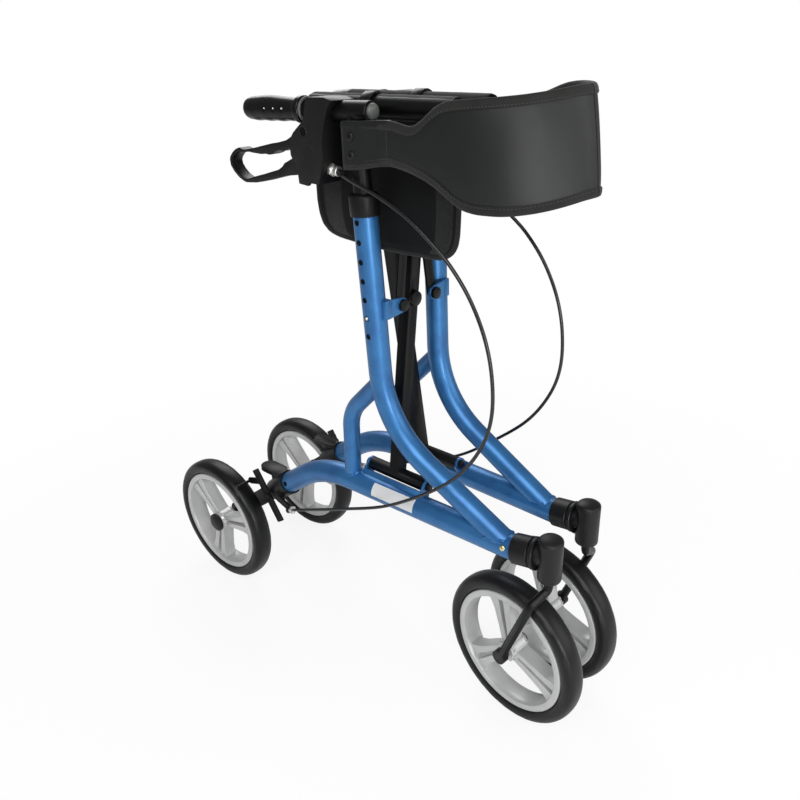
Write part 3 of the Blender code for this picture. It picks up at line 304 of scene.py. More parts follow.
def plain_mesh(work):
    mesh = bpy.data.meshes.new("shape")
    work.to_mesh(mesh)
    work.free()
    return mesh


def applied(obj):
    graph = bpy.context.evaluated_depsgraph_get()
    mesh = bpy.data.meshes.new_from_object(obj.evaluated_get(graph))
    bpy.data.objects.remove(obj)
    return mesh


def rounded(mesh, width):
    """The mesh with its sharp edges rounded by the width."""
    holder = placed("holder", mesh)
    step = holder.modifiers.new("edges", "BEVEL")
    step.width = width
    step.segments = 2
    step.limit_method = "ANGLE"
    step.angle_limit = radians(30)
    step.use_clamp_overlap = True
    return applied(holder)


def skin(name, material, bevel=0.0, slot=None):
    """A CAD node with welded seams, smooth shading and, where asked, rounded edges."""
    work = bmesh.new()
    work.from_mesh(nodes[name].data)
    bmesh.ops.remove_doubles(work, verts=work.verts, dist=2e-5)
    bmesh.ops.dissolve_limit(work, angle_limit=radians(0.6), verts=work.verts,
                             edges=work.edges)
    mesh = finish_mesh(work)
    if bevel:
        mesh = rounded(mesh, bevel)
    add(f"skin_{name}", mesh, material, nodes[name]["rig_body"], 40, (name,), slot)


def circle(count):
    """Evenly spaced (cosine, sine) pairs round a circle."""
    angles = [tau * index / count for index in range(count)]
    return [(cos(angle), sin(angle)) for angle in angles]


def block(low, high):
    work = bmesh.new()
    bmesh.ops.create_cube(work, size=1.0)
    for vert in work.verts:
        for axis in range(3):
            share = vert.co[axis] + 0.5
            vert.co[axis] = low[axis] + (high[axis] - low[axis]) * share
    return finish_mesh(work)


def lathe(profile, start, direction, sides=48, closed=False):
    """A profile of (distance, radius) turned about an axis."""
    work = bmesh.new()
    rows = []
    for along, radius in profile:
        ring = [(radius * c, radius * s, along) for c, s in circle(sides)]
        rows.append([work.verts.new(point) for point in ring] if radius > 0
                    else [work.verts.new((0, 0, along))])
    for low, high in zip(rows, rows[1:] + rows[:1] if closed else rows[1:]):
        for index in range(sides):
            after = (index + 1) % sides
            corners = [low[index % len(low)], low[after % len(low)]]
            corners += [high[after % len(high)], high[index % len(high)]]
            corners = list(dict.fromkeys(corners))
            if len(corners) > 2:
                work.faces.new(corners)
    mesh = finish_mesh(work)
    turn = Vector((0, 0, 1)).rotation_difference(Vector(direction)).to_matrix().to_4x4()
    mesh.transform(Matrix.Translation(start) @ turn)
    return mesh


def curve_mesh(points, closed, **settings):
    """The mesh of a curve with straight sides and the given settings."""
    curve = bpy.data.curves.new("curve", "CURVE")
    for key, value in settings.items():
        setattr(curve, key, value)
    spline = curve.splines.new("POLY")
    spline.points.add(len(points) - 1)
    spline.use_cyclic_u = closed
    for target, point in zip(spline.points, points):
        target.co = (*point, 1)
    return applied(placed("curve", curve))


def tube(points, radius, resolution):
    return curve_mesh(points, False, dimensions="3D", bevel_depth=radius,
                      bevel_resolution=resolution, use_fill_caps=True)


def plate(loop, half, bevel):
    """A flat plate in XZ from a closed loop of (x, z)."""
    mesh = curve_mesh([(x, z, 0) for x, z in loop], True, dimensions="2D", fill_mode="BOTH",
                      extrude=half - bevel, bevel_depth=bevel, bevel_resolution=2, offset=-bevel)
    mesh.transform(Matrix.Rotation(pi / 2, 4, "X"))
    return mesh


def smooth_line(points, count):
    """Evenly spaced points on a smooth curve through the given points."""
    ends = [2 * points[0] - points[1], *points, 2 * points[-1] - points[-2]]
    fine = []
    for a, b, c, d in zip(ends, ends[1:], ends[2:], ends[3:]):
        for index in range(24):
            t = index / 24
            fine.append(0.5 * (2 * b + (c - a) * t + (2 * a - 5 * b + 4 * c - d) * t * t
                               + (3 * b - 3 * c + d - a) * t * t * t))
    fine.append(points[-1])
    lengths = [0.0]
    for here, there in zip(fine, fine[1:]):
        lengths.append(lengths[-1] + (there - here).length)
    line = []
    place = 0
    for index in range(count):
        target = lengths[-1] * index / (count - 1)
        while place < len(fine) - 2 and lengths[place + 1] < target:
            place += 1
        span = max(1e-9, lengths[place + 1] - lengths[place])
        line.append(fine[place].lerp(fine[place + 1], (target - lengths[place]) / span))
    return line


def square(vector, way):
    """The part of a vector at right angles to a unit vector."""
    return vector - way * vector.dot(way)


def heading(line, index):
    """The way a line runs at one of its points, not normalized."""
    return line[min(index + 1, len(line) - 1)] - line[max(index - 1, 0)]


def grid(rows, closed=False):
    """Faces between rings of points, with the last ring joined to the first where asked."""
    work = bmesh.new()
    made = [[work.verts.new(point) for point in row] for row in rows]
    for low, high in zip(made, made[1:] + made[:1] if closed else made[1:]):
        for index in range(len(low)):
            after = (index + 1) % len(low)
            work.faces.new((low[index], low[after], high[after], high[index]))
    return work, made


def capped(rows):
    """A closed shape through rings of points, with a face at each end."""
    work, made = grid(rows)
    work.faces.new(made[0])
    work.faces.new(made[-1])
    return finish_mesh(work)


def closed_sheet(count, steps, place):
    """A sheet of place(index, share, face): face is 1 outside, and -1 on the way back inside."""
    up = [(step / steps, 1) for step in range(steps + 1)]
    trip = up + [(share, -1) for share, _ in reversed(up)]
    return capped([[place(index, share, face) for share, face in trip] for index in range(count)])


def joined(meshes):
    work = bmesh.new()
    for mesh in meshes:
        work.from_mesh(mesh)
    return plain_mesh(work)


def round_loop(points, radius):
    """A closed loop of 2-D points with its corners rounded."""
    loop = []
    for index, point in enumerate(points):
        corner = Vector(point)
        before = Vector(points[index - 1]) - corner
        after = Vector(points[(index + 1) % len(points)]) - corner
        reach = min(radius, before.length * 0.45, after.length * 0.45)
        start = corner + before.normalized() * reach
        end = corner + after.normalized() * reach
        for step in range(5):
            t = step / 4
            loop.append(tuple((1 - t) ** 2 * start + 2 * t * (1 - t) * corner + t * t * end))
    return loop


def table(rows, x):
    """The value at x of a table of (x, value) rows, by straight lines."""
    if x <= rows[0][0]:
        return rows[0][1]
    for (x0, a), (x1, b) in zip(rows, rows[1:]):
        if x <= x1:
            return a + (b - a) * (x - x0) / (x1 - x0)
    return rows[-1][1]


# Wheels
TYRE_HALF = 0.0148
TREAD_CENTRE = 0.0912
TREAD_HEIGHT = 0.0104
ZIGZAGS = 14
ZIGZAG_DEPTH = 0.0009
REAR_SPIN = 15.5
FRONT_SPIN = -17
CASTER_TURN = -7.4
REAR_HUB_HALF = 0.0133
FRONT_HUB_HALF = 0.0150
RIB = (
    (0.0100, 0.0012), (0.030, 0.0024), (0.0600, 0.0034), (0.0745, 0.0040), (0.0745, 0.0225),
    (0.0680, 0.0165), (0.0560, 0.0128), (0.0300, 0.0100), (0.0100, 0.0090))
RIB_WEB = ((0.010, -0.0040), (0.0745, -0.0050), (0.0745, 0.0050), (0.010, 0.0040))


def tyre_mesh():
    """A moulded tyre about Y, with a shallow zigzag on each shoulder."""
    section = []
    for index in range(29):
        t = radians(-128 + 256 * index / 28)
        across = copysign(abs(sin(t)) ** 0.86, sin(t)) * TYRE_HALF
        out = copysign(abs(cos(t)) ** 0.80, cos(t))
        section.append((across, TREAD_CENTRE + out * TREAD_HEIGHT))
    low = section[0][0]
    section = [(low * 0.80, RIM_RADIUS - 0.0010), *section, (-low * 0.80, RIM_RADIUS - 0.0010)]
    rows = []
    for index, (c, s) in enumerate(circle(240)):
        zigzag = abs(2 * ((index / 240 * ZIGZAGS) % 1.0) - 1)
        ring = []
        for across, radius in section:
            shoulder = (radius - 0.0935) / 0.0065
            line = abs(shoulder - (0.25 + 0.5 * zigzag))
            if 0.0055 < abs(across) and 0 < shoulder < 1.05 and line < 0.16:
                radius -= ZIGZAG_DEPTH * (1 - line / 0.16)
            ring.append(Vector((radius * c, across, radius * s)))
        rows.append(ring)
    work, _ = grid(rows, closed=True)
    return finish_mesh(work)


def turned_about_y(half, sides=48, closed=False):
    """A lathed shape about Y from half of its profile, given from its end to its middle."""
    profile = [(-along, radius) for along, radius in half] + half[::-1]
    return lathe(profile, (0, 0, 0), (0, 1, 0), sides, closed)


def rim_mesh(spin, hub_half):
    """A dished rim: a deep barrel and three pairs of ribs, each pair with a slot between."""
    pieces = [turned_about_y([(0.0126, RIM_RADIUS - 0.0004), (0.0134, RIM_RADIUS - 0.0012),
                              (0.0136, RIM_RADIUS - 0.0020), (0.0136, 0.0752), (0.0133, 0.0745),
                              (0.0126, 0.0741), (0.0040, 0.0735)], 96, True)]
    for index in range(3):
        ribs = [plate([(along, side * across) for along, across in RIB[::side]], 0.0098, 0.0008)
                for side in (-1, 1)]
        ribs.append(plate(RIB_WEB, 0.0030, 0.0006))
        for mesh in ribs:
            mesh.transform(Matrix.Rotation(-(spin + tau * index / 3), 4, "Y"))
        pieces += ribs
    pieces.append(turned_about_y([(hub_half, 0.0), (hub_half, 0.0118), (hub_half - 0.001, 0.0128),
                                  (0.0105, 0.0136), (0.0090, 0.0152)]))
    for c, s in circle(12):
        for side in (-1, 1):
            ends = [Vector((0.0137 * c, side * y, 0.0137 * s)) for y in (0.0080, hub_half - 0.0012)]
            pieces.append(tube(ends, 0.0009, 2))
    return joined(pieces)


def wheel(place, spin, hub_half, side, kind):
    rim = rim_mesh(radians(spin), hub_half)
    for mesh, label, material in ((tyre_mesh(), "tyre", TYRE), (rim, "rim", SILVER)):
        mesh.transform(place)
        add(f"{kind}_{label}_{side}_look", mesh, material, f"{side}_{kind}_wheel", 32,
            (f"{kind}_{label}_{side}",))


def wheels():
    turn = Matrix.Rotation(radians(CASTER_TURN), 4, "Z")
    for side, s in SIDES:
        place = Matrix.Translation(P(0, s * REAR_WHEEL_Y, WHEEL_RADIUS))
        wheel(place, REAR_SPIN, REAR_HUB_HALF, side, "rear")
        stem = Matrix.Translation(P(STEM_X, s * STEM_Y, WHEEL_RADIUS))
        place = stem @ turn @ Matrix.Translation((-TRAIL, 0, 0))
        wheel(place, FRONT_SPIN, FRONT_HUB_HALF, side, "front")
        nut = lathe(((0, 0), (0, 0.0072), (0.0035, 0.0072), (0.0050, 0.0052), (0.0054, 0)),
                    place @ Vector((0, s * 0.0166, 0)), turn.to_3x3() @ Vector((0, s, 0)), 6)
        add(f"axle_nut_{side}", nut, BLACK_METAL, f"{side}_caster", 30)


# Backrest strap
TAPE_WIDTH = 0.0086
STITCH_DEPTH = 0.0068
STITCH_PITCH = 0.0034
STRAP_BEND_X = 0.3435
BAND_PLAN = (
    (0.3482, -0.0834), (0.3580, -0.0834), (0.3900, -0.0838), (0.4400, -0.0838), (0.4800, -0.0800),
    (0.5120, -0.0700), (0.5370, -0.0530), (0.5560, -0.0320), (0.5690, -0.0130), (0.5730, -0.0006))
BAND_LOW = (
    (0.3200, 0.6800), (0.3430, 0.6820), (0.3530, 0.6838), (0.3700, 0.6872), (0.3867, 0.6890),
    (0.3987, 0.6872), (0.4128, 0.6845), (0.4333, 0.6780), (0.4462, 0.6715), (0.4617, 0.6610),
    (0.4722, 0.6545), (0.4876, 0.6512), (0.5114, 0.6506), (0.5305, 0.6525), (0.5463, 0.6557),
    (0.5588, 0.6597), (0.5702, 0.6645), (0.5730, 0.6658))
NEAR_HIGH = (
    (0.3200, 0.7280), (0.3430, 0.7290), (0.3700, 0.7308), (0.3880, 0.7318), (0.4007, 0.7296),
    (0.4100, 0.7275), (0.4161, 0.7270), (0.4263, 0.7318), (0.4325, 0.7368), (0.4398, 0.7431),
    (0.4468, 0.7477), (0.4570, 0.7518), (0.4719, 0.7535), (0.4914, 0.7550), (0.5089, 0.7561),
    (0.5314, 0.7581), (0.5505, 0.7609), (0.5621, 0.7633), (0.5674, 0.7648), (0.5730, 0.7658))
FAR_HIGH = (
    (0.3200, 0.7280), (0.3880, 0.7318), (0.4100, 0.7275), (0.4263, 0.7318), (0.4468, 0.7470),
    (0.4671, 0.7530), (0.4772, 0.7570), (0.4892, 0.7610), (0.5031, 0.7635), (0.5183, 0.7647),
    (0.5363, 0.7650), (0.5600, 0.7652), (0.5730, 0.7658))


def eased(rows, x):
    """A table's value, averaged over 12 mm."""
    return sum(table(rows, x + 0.006 * (k - 2) / 2) for k in range(5)) / 5


def band_stations(s, count):
    """Places along half of the strap: plan point, outward direction, low and high edge, lean."""
    line = smooth_line([Vector((x, -s * y, 0)) for x, y in BAND_PLAN], count)
    stations = []
    for index, point in enumerate(line):
        ahead = heading(line, index)
        out = Vector((-s * ahead.y, s * ahead.x, 0)).normalized()
        if index == count - 1:
            out = Vector((1, 0, 0))
        share = max(0.0, (point.x - 0.47) / 0.103) ** 2
        high = eased(FAR_HIGH if s > 0 else NEAR_HIGH, point.x)
        stations.append((point, out, eased(BAND_LOW, point.x), high, share))
    return stations


def band_place(station, offset, z):
    """A point of the strap at height z, offset outwards; the front of the strap leans."""
    point, out, low, high, share = station
    lean = share * (0.0010 - 0.0140 * (z - low) / (high - low))
    return P(point.x + out.x * offset + lean, point.y + out.y * offset, z)


def band_pad(s):
    """Half of the padded strap, crowned between its edges."""
    stations = band_stations(s, 64)

    def place(index, rise, face):
        point, _, low, high, _ = stations[index]
        z = low + (high - low) * rise
        crown = max(0.0, 1 - abs(2 * rise - 1) ** 3.0)
        half = 0.0013 + (0.0014 + 0.0006 * min(1.0, index / 12)) * crown
        if face > 0:
            half += 0.00022 * noise.noise(Vector((point.x * 28, z * 40, s * 3.0)))
        return band_place(stations[index], face * half, z)

    return closed_sheet(64, 22, place)


def band_binding(s, top):
    """Tape folded over one long edge of the strap."""
    rows = []
    for index, station in enumerate(band_stations(s, 90)):
        edge, way = (station[3], -1) if top else (station[2], 1)
        half = 0.0021 + 0.0006 * min(1.0, index / 12)
        outer = ((half + 0.0006, TAPE_WIDTH), (half + 0.0009, TAPE_WIDTH * 0.8),
                 (half + 0.0006, TAPE_WIDTH * 0.4), (half * 0.8, 0.0004), (half * 0.3, -0.0006))
        section = [*outer, *((-offset, depth) for offset, depth in reversed(outer)),
                   (-half + 0.0014, TAPE_WIDTH), (half - 0.0014, TAPE_WIDTH)]
        rows.append([band_place(station, offset, edge + way * depth) for offset, depth in section])
    return capped(rows)


def band_stitches(s):
    """Short stitches through both tapes, on the strap's outer face."""
    stations = band_stations(s, 150)
    pieces = []
    for top in (True, False):
        for index in range(2, len(stations) - 2, 2):
            ends = []
            for station in stations[index:index + 2]:
                edge = station[3] - STITCH_DEPTH if top else station[2] + STITCH_DEPTH
                ends.append(band_place(station, 0.0034 + 0.0003, edge))
            middle = (ends[0] + ends[1]) / 2
            pieces.append(tube([middle + (end - middle) * 0.8 for end in ends], 0.00028, 1))
    return joined(pieces)


def tab_cover(s):
    """The strap's folded end round its bracket, as one fixed piece that rides on no body and does
    not bend at the strap's hinge.
    """
    def place(index, rise, face):
        x = 0.3198 + (0.3880 - 0.3198) * index / 39
        low = eased(BAND_LOW, x) - 0.0008
        high = eased(NEAR_HIGH, x) + 0.0008
        half = 0.0035 - {0: 0.0012, 1: 0.0003}.get(min(index, 39 - index), 0)
        half -= 0.0004 * (index > 30)
        y = 0.0835 + face * half * (0.72 if rise in (0, 1) else 1)
        return P(x, s * y, low + (high - low) * rise)

    return closed_sheet(40, 14, place)


def tab_stitches(s):
    """The stitched box on the strap's end, open where the end bends."""
    pieces = []
    corners = ((0.3232, 0.6838), (0.3845, 0.6915), (0.3845, 0.7255), (0.3232, 0.7235))
    for (x0, z0), (x1, z1) in zip(corners, corners[1:] + corners[:1]):
        run = Vector((x1 - x0, 0, z1 - z0))
        count = int(run.length / STITCH_PITCH)
        for k in range(count):
            a, b = (Vector((x0, 0, z0)) + run * ((k + share) / count) for share in (0.2, 0.75))
            if abs((a.x + b.x) / 2 - STRAP_BEND_X) > 0.004:
                ends = [P(point.x, s * 0.0870, point.z) for point in (a, b)]
                pieces.append(tube(ends, 0.00025, 1))
    return joined(pieces)


def screw(place, way, radius):
    """A domed screw head, and a flat six-sided dark disc of painted shade for its socket."""
    head = lathe(((-0.001, 0), (-0.001, radius), (0.0004, radius), (0.0012, radius * 0.9),
                  (0.0019, radius * 0.62), (0.0020, radius * 0.42), (0.0020, 0.0)), place, way, 32)
    socket = lathe(((0.0019, 0), (0.0019, radius * 0.36), (0.00205, radius * 0.36),
                    (0.00205, 0)), place, way, 6)
    return head, socket


def strap():
    for side, s in SIDES:
        body = f"{side}_backrest"
        holder = f"{side}_handle"
        pad = add(f"strap_{side}", band_pad(s), COATED, body, 60, (f"backrest_{side}",))
        for label, top in (("upper", True), ("lower", False)):
            add(f"strap_{label}_binding_{side}", band_binding(s, top), WEBBING, body, 50)
        add(f"strap_stitches_{side}", band_stitches(s), STITCH, body)
        cover = add(f"strap_end_{side}", tab_cover(s), COATED, None, 50)
        thread = add(f"strap_end_stitches_{side}", tab_stitches(s), STITCH, None)
        for piece in (cover, thread):
            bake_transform(piece)
        for number, z in enumerate((0.7144, 0.6954)):
            head, socket = screw(P(0.3338, s * 0.0869, z), (0, s, 0), 0.0046)
            add(f"strap_screw_{number}_{side}", head, PLASTIC, holder, slot="black_metal")
            # The socket is a flat dark hexagon of painted shade on the head.
            add(f"strap_screw_socket_{number}_{side}", socket, DARK, holder, slot="black_metal")


# Seat and bag
PANEL = 0.081
PANEL_LEAN = radians(3.4)
PANEL_HINGE_Y = 0.0125
PANEL_START = 0.2312
PANEL_END = 0.4188
NEAR_LEFT = (
    (0.5905, 0.2620), (0.5915, 0.2540), (0.5930, 0.2470), (0.5960, 0.2390), (0.6035, 0.2300),
    (0.6150, 0.2255), (0.6300, 0.2235), (0.6475, 0.2236), (BAG_TOP, 0.2245))
NEAR_RIGHT = (
    (0.5865, 0.4060), (0.5880, 0.4140), (0.5910, 0.4214), (0.5970, 0.4285), (0.6047, 0.4324),
    (0.6150, 0.4345), (0.6264, 0.4353), (0.6475, 0.4364), (BAG_TOP, 0.4300))
FAR_RIGHT = (
    (0.5865, 0.3500), (0.5900, 0.3620), (0.5970, 0.3720), (0.6100, 0.3780), (0.6300, 0.3805),
    (0.6600, 0.3850), (0.6900, 0.4050), (BAG_TOP, 0.4260))


def rail_cover(s, start, end):
    """Cloth sewn round a length of seat rail, with a raised seam below."""
    def ring_point(x, radius, angle):
        return P(x, s * RAIL_Y + radius * cos(angle), RAIL_Z + radius * sin(angle))

    angles = [tau * k / 40 for k in range(40)]
    seam_angle = radians(250 if s < 0 else 290)
    count = max(8, int((end - start) / 0.002))
    rows = []
    for index in range(count + 1):
        x = start + (end - start) * index / count
        lip = 0.0006 if index in (0, count) else 0.0
        ring = []
        for angle in angles:
            radius = COVER_RADIUS - lip + 0.0002 * noise.noise(Vector((x * 60, angle * 2, s)))
            seam = abs((angle - seam_angle + pi) % tau - pi)
            if seam < 0.22:
                radius += 0.0012 * (1 - seam / 0.22)
            ring.append(ring_point(x, radius, angle))
        rows.append(ring)
    inner = [[ring_point(x, 0.0126, angle) for angle in angles] for x in (end, start)]
    work, _ = grid(rows + inner, closed=True)
    return finish_mesh(work)


def seat_panel(s, inner):
    """One of the seat's hanging cloths, slightly waved."""
    across, drop = sin(PANEL_LEAN), cos(PANEL_LEAN)
    bottom_y = PANEL_HINGE_Y - PANEL * across
    bottom_z = RAIL_Z - PANEL * drop

    def place(index, share, face):
        x = PANEL_START + (PANEL_END - PANEL_START) * index / 40
        down = 0.0012 + (0.0790 - 0.0012) * share
        if inner:
            y = bottom_y - (PANEL - down) * across
            z = bottom_z + (PANEL - down) * drop
        else:
            y = PANEL_HINGE_Y - down * across
            z = RAIL_Z - down * drop
        wave = 0.00018 * sin(x * 160 + share * 7 + (1.7 if inner else 0))
        depth = (0.0009 if face > 0 else 0.0017) + wave
        return P(x, s * (y - depth if inner else y + depth), z)

    return closed_sheet(41, 14, place)


def bag_side(s):
    """One hanging side of the bag, with net at both ends and a soft belly, and its edge."""
    right = NEAR_RIGHT if s < 0 else FAR_RIGHT
    base = RAIL_Y + 0.0056
    rows = []
    for k in range(31):
        rise = (k / 30) ** 1.35
        left_z, right_z = (side[0][0] + (BAG_TOP - side[0][0]) * rise
                           for side in (NEAR_LEFT, right))
        x0, x1 = table(NEAR_LEFT, left_z), table(right, right_z)
        row = []
        for j in range(61):
            u = j / 60
            sag = 0.0026 * sin(pi * u) * (1 - rise) ** 2
            row.append((x0 + (x1 - x0) * u, left_z + (right_z - left_z) * u - sag))
        rows.append(row)
    work = bmesh.new()
    outer, inner = [], []
    for i, row in enumerate(rows):
        v = i / 30
        lines = ([], [])
        for j, (x, z) in enumerate(row):
            belly = (1 - (2 * j / 60 - 1) ** 6) * (1 - v ** 3) * min(1.0, i / 4)
            fold = 0.0007 * sin(x * 95 + 2.0 * v) * belly
            dent = 0.0012 * noise.noise(Vector((x * 24, z * 20, 5.0 + s))) * belly
            lines[0].append(P(x, s * (base + 0.0006 + 0.0030 * belly + (fold + dent)), z))
            lines[1].append(P(x, s * (base - 0.0006 - 0.0004 * belly), z))
        outer.append(lines[0])
        inner.append(lines[1])
    made = [[[work.verts.new(point) for point in line] for line in sheet]
            for sheet in (outer, inner)]
    for sheet in made:
        for i in range(len(rows) - 1):
            for j in range(60):
                x, z = rows[i][j]
                if z > 0.680 and 0.3050 < x < 0.3545:
                    continue
                face = work.faces.new((sheet[i][j], sheet[i][j + 1], sheet[i + 1][j + 1],
                                       sheet[i + 1][j]))
                net = 0.045 < j / 60 < 0.20 or 0.86 < j / 60 < 0.965
                face.material_index = 1 if net and 1 < i < 27 else 0
    partner = {a: b for line_a, line_b in zip(*made) for a, b in zip(line_a, line_b)}
    rims = [edge for edge in work.edges if len(edge.link_faces) == 1 and edge.verts[0] in partner]
    for a, b in [edge.verts for edge in rims]:
        work.faces.new((a, b, partner[b], partner[a]))
    loose = [vert for vert in work.verts if not vert.link_faces]
    bmesh.ops.delete(work, geom=loose, context="VERTS")
    mesh = finish_mesh(work)
    mesh.materials.append(NYLON)
    mesh.materials.append(MESH)
    edge = [row[0] for row in reversed(rows)] + rows[0][4:-4:4] + [row[-1] for row in rows]
    return mesh, smooth_line([P(x, s * (base + 0.0004), z) for x, z in edge if z < 0.7258], 150)


def tape(line, across, deep):
    """A tape with a rounded section along a line in an XZ plane."""
    rows = []
    for index, point in enumerate(line):
        ahead = heading(line, index).normalized()
        sideways = Vector((ahead.z, 0, -ahead.x))
        rows.append([point + sideways * (across * c) + Vector((0, deep * s, 0))
                     for c, s in circle(12)])
    return capped(rows)


def seat_and_bag():
    for side, s in SIDES:
        body = f"{side}_rail"
        eye = (0.3085, 0.3240) if s < 0 else (0.3250, 0.3405)
        skin(f"seat_rail_{side}", BLACK_METAL)
        for number, (start, end) in enumerate(((0.2238, eye[0] - 0.0006),
                                               (eye[1] + 0.0006, 0.4303))):
            cover = add(f"rail_cover_{number}_{side}", rail_cover(s, start, end), WEBBING, body, 50)
        for label in ("outer", "inner"):
            panel = add(f"seat_{label}_cloth_{side}", seat_panel(s, label == "inner"), COATED,
                        f"{side}_seat_{label}", 60, (f"seat_{label}_{side}",))
        low_y, high_y = sorted((s * 0.0130, s * 0.0170))
        hems = [rounded(block(P(x0, low_y, RAIL_Z - 0.0011), P(x1, high_y, RAIL_Z + 0.0011)),
                        0.0004)
                for x0, x1 in ((0.2320, eye[0] - 0.0015), (eye[1] + 0.0015, 0.4180))]
        add(f"seat_hem_{side}", joined(hems), COATED, body, 50)
        mesh, line = bag_side(s)
        bag = add(f"bag_{side}", mesh, None, body, 180,
                  (f"bag_front_{side}", f"bag_rear_{side}"), "fabric")
        add(f"bag_binding_{side}", tape(line, 0.0030, 0.0019), WEBBING, body, 60)


# Handles
GRIP_LENGTH = 0.0978
DIMPLES = (0.0415, 0.0564, 0.0702)
# Pale domes in the grip's dimples: painted highlights that stand for the glints the dimples catch.
GRIP_GLINT_DOT = ((-0.0008, 0), (-0.0008, 0.0011), (0.0001, 0.0010), (0.0005, 0.0005), (0.0006, 0))
GRIP_PROFILE = (
    (0, 0.0), (0.0002, 0.0052), (0.0010, 0.0084), (0.0030, 0.0112), (0.0070, 0.0126),
    (0.0140, 0.0131), (0.0300, 0.0132), (0.0640, 0.0130), (0.0840, 0.0124), (0.0872, 0.0126),
    (0.0888, 0.0146), (0.0905, 0.0151), (0.0960, 0.0151), (0.0976, 0.0143), (0.0978, 0.0118))


def grip_ends(s):
    return P(0.1492, s * 0.0679, 0.7344), P(0.2470, s * 0.0654, 0.7360)


def grip_mesh(s):
    """A grip with a palm swell above, finger waves below and three small dimples at each side."""
    start, end = grip_ends(s)
    way = (end - start).normalized()
    level = square(Vector((0, 1, 0)), way).normalized()
    up = way.cross(level)
    angles = [tau * k / 72 for k in range(72)]
    stations = [0.0002, 0.0006, 0.0010, 0.0018]
    stations += [0.003 + (GRIP_LENGTH - 0.003) * k / 110 for k in range(111)]
    rows = []
    for along in stations:
        body = max(0.0, min(1.0, along / 0.012, (0.086 - along) / 0.010))
        ring = []
        for angle in angles:
            top = max(0.0, sin(angle))
            low = max(0.0, -sin(angle))
            radius = table(GRIP_PROFILE, along)
            radius += 0.0016 * body * top ** 1.5 * exp(-((along - 0.040) / 0.022) ** 2)
            radius += 0.0003 * body * low * sin(tau * (along - 0.014) / 0.0205)
            for centre in DIMPLES:
                for middle in (0.0, pi):
                    arc = (angle - middle + pi) % tau - pi
                    near = hypot(along - centre, arc * 0.013) / 0.0026
                    if near < 1.6:
                        radius -= 0.0013 * exp(-near * near * 1.8)
            ring.append(start + way * along + level * (radius * cos(angle))
                        + up * (radius * sin(angle)))
        rows.append(ring)
    work, made = grid(rows)
    tip = work.verts.new(start)
    inner = [work.verts.new(end + level * (0.0113 * cos(angle))
                            + up * (0.0113 * sin(angle))) for angle in angles]
    first, last = made[0], made[-1]
    for k in range(72):
        work.faces.new((first[k], first[(k + 1) % 72], tip))
    for k in range(72):
        after = (k + 1) % 72
        work.faces.new((last[k], last[after], inner[after], inner[k]))
    return finish_mesh(work)


def handle_details(side, s):
    """The grip's pale dots of painted highlight and its ring, the bar's plug, the cable adjuster
    and the housing's marks.
    """
    start, end = grip_ends(s)
    way = (end - start).normalized()
    out = square(Vector((0, s, 0.12)), way).normalized()
    # Pale dots of painted highlight, one in each dimple on the outer side.
    dots = [lathe(GRIP_GLINT_DOT, start + way * along + out * 0.0126, out, 12) for along in DIMPLES]
    add(f"grip_painted_glints_{side}", joined(dots), LABEL_AND_GLINT, f"{side}_handle", 60)
    cable_way = (1, 0, -0.12)
    pivot = P(0.2585, s * 0.0840, 0.7150)
    for label, material, smooth, place, axis, sides, closed, profile in (
            ("grip_ring", PLUG, 40, start + way * 0.0979, way, 48, True,
             ((0, 0.0116), (0, 0.0136), (0.0006, 0.0140), (0.0022, 0.0140), (0.0028, 0.0134),
              (0.0028, 0.0116))),
            ("bar_plug", PLUG, 50, P(0.3438, s * 0.0630, 0.7375), (1, 0.02 * s, 0), 40, False,
             ((-0.002, 0.0068), (0, 0.0082), (0.0016, 0.0086), (0.0034, 0.0080),
              (0.0050, 0.0062), (0.0058, 0.0034), (0.0060, 0))),
            ("adjuster_nut", STEEL, 30, P(0.2848, s * 0.070, 0.6751), cable_way, 6, False,
             ((0, 0), (0, 0.0066), (0.0005, 0.0073), (0.0040, 0.0073), (0.0045, 0.0066),
              (0.0045, 0))),
            ("adjuster_barrel", STEEL, 30, P(0.2890, s * 0.070, 0.6747), cable_way, 32, False,
             ((0, 0), (0, 0.0052), (0.0012, 0.0056), (0.0020, 0.0048), (0.0032, 0.0048),
              (0.0036, 0.0057), (0.0076, 0.0057), (0.0082, 0.0050), (0.0084, 0))),
            ("pivot_rim", PLASTIC, 60, pivot, (0, s, 0), 40, True,
             ((0, 0.0048), (0.0005, 0.0052), (0.0006, 0.0062), (0, 0.0066))),
            # A flat near-black disc: painted shade standing for the pivot's hole.
            ("pivot_hole_shade", DARK, 60, pivot, (0, s, 0), 40, False,
             ((-0.0004, 0), (-0.0004, 0.0050), (0.0002, 0.0050), (0.0002, 0))),
            ("housing_boss", PLASTIC, 60, P(0.2640, s * 0.0840, 0.6930), (0, s, 0), 56, True,
             ((0, 0.0086), (0.0003, 0.0089), (0.0003, 0.0094), (0, 0.0097)))):
        add(f"{label}_{side}", lathe(profile, place, axis, sides, closed), material,
            f"{side}_handle", smooth)


def handles():
    for side, s in SIDES:
        for label, material, bevel in (
                ("inner_post", BLACK_METAL, 0), ("handle_bar", BLACK_METAL, 0),
                ("lever_housing", PLASTIC, 0.0013), ("brake_lever", PLASTIC, 0.0014),
                ("backrest_bracket", BLACK_METAL, 0.0005)):
            skin(f"{label}_{side}", material, bevel)
        add(f"grip_look_{side}", grip_mesh(s), GRIP, f"{side}_handle", 60, (f"grip_{side}",))
        handle_details(side, s)


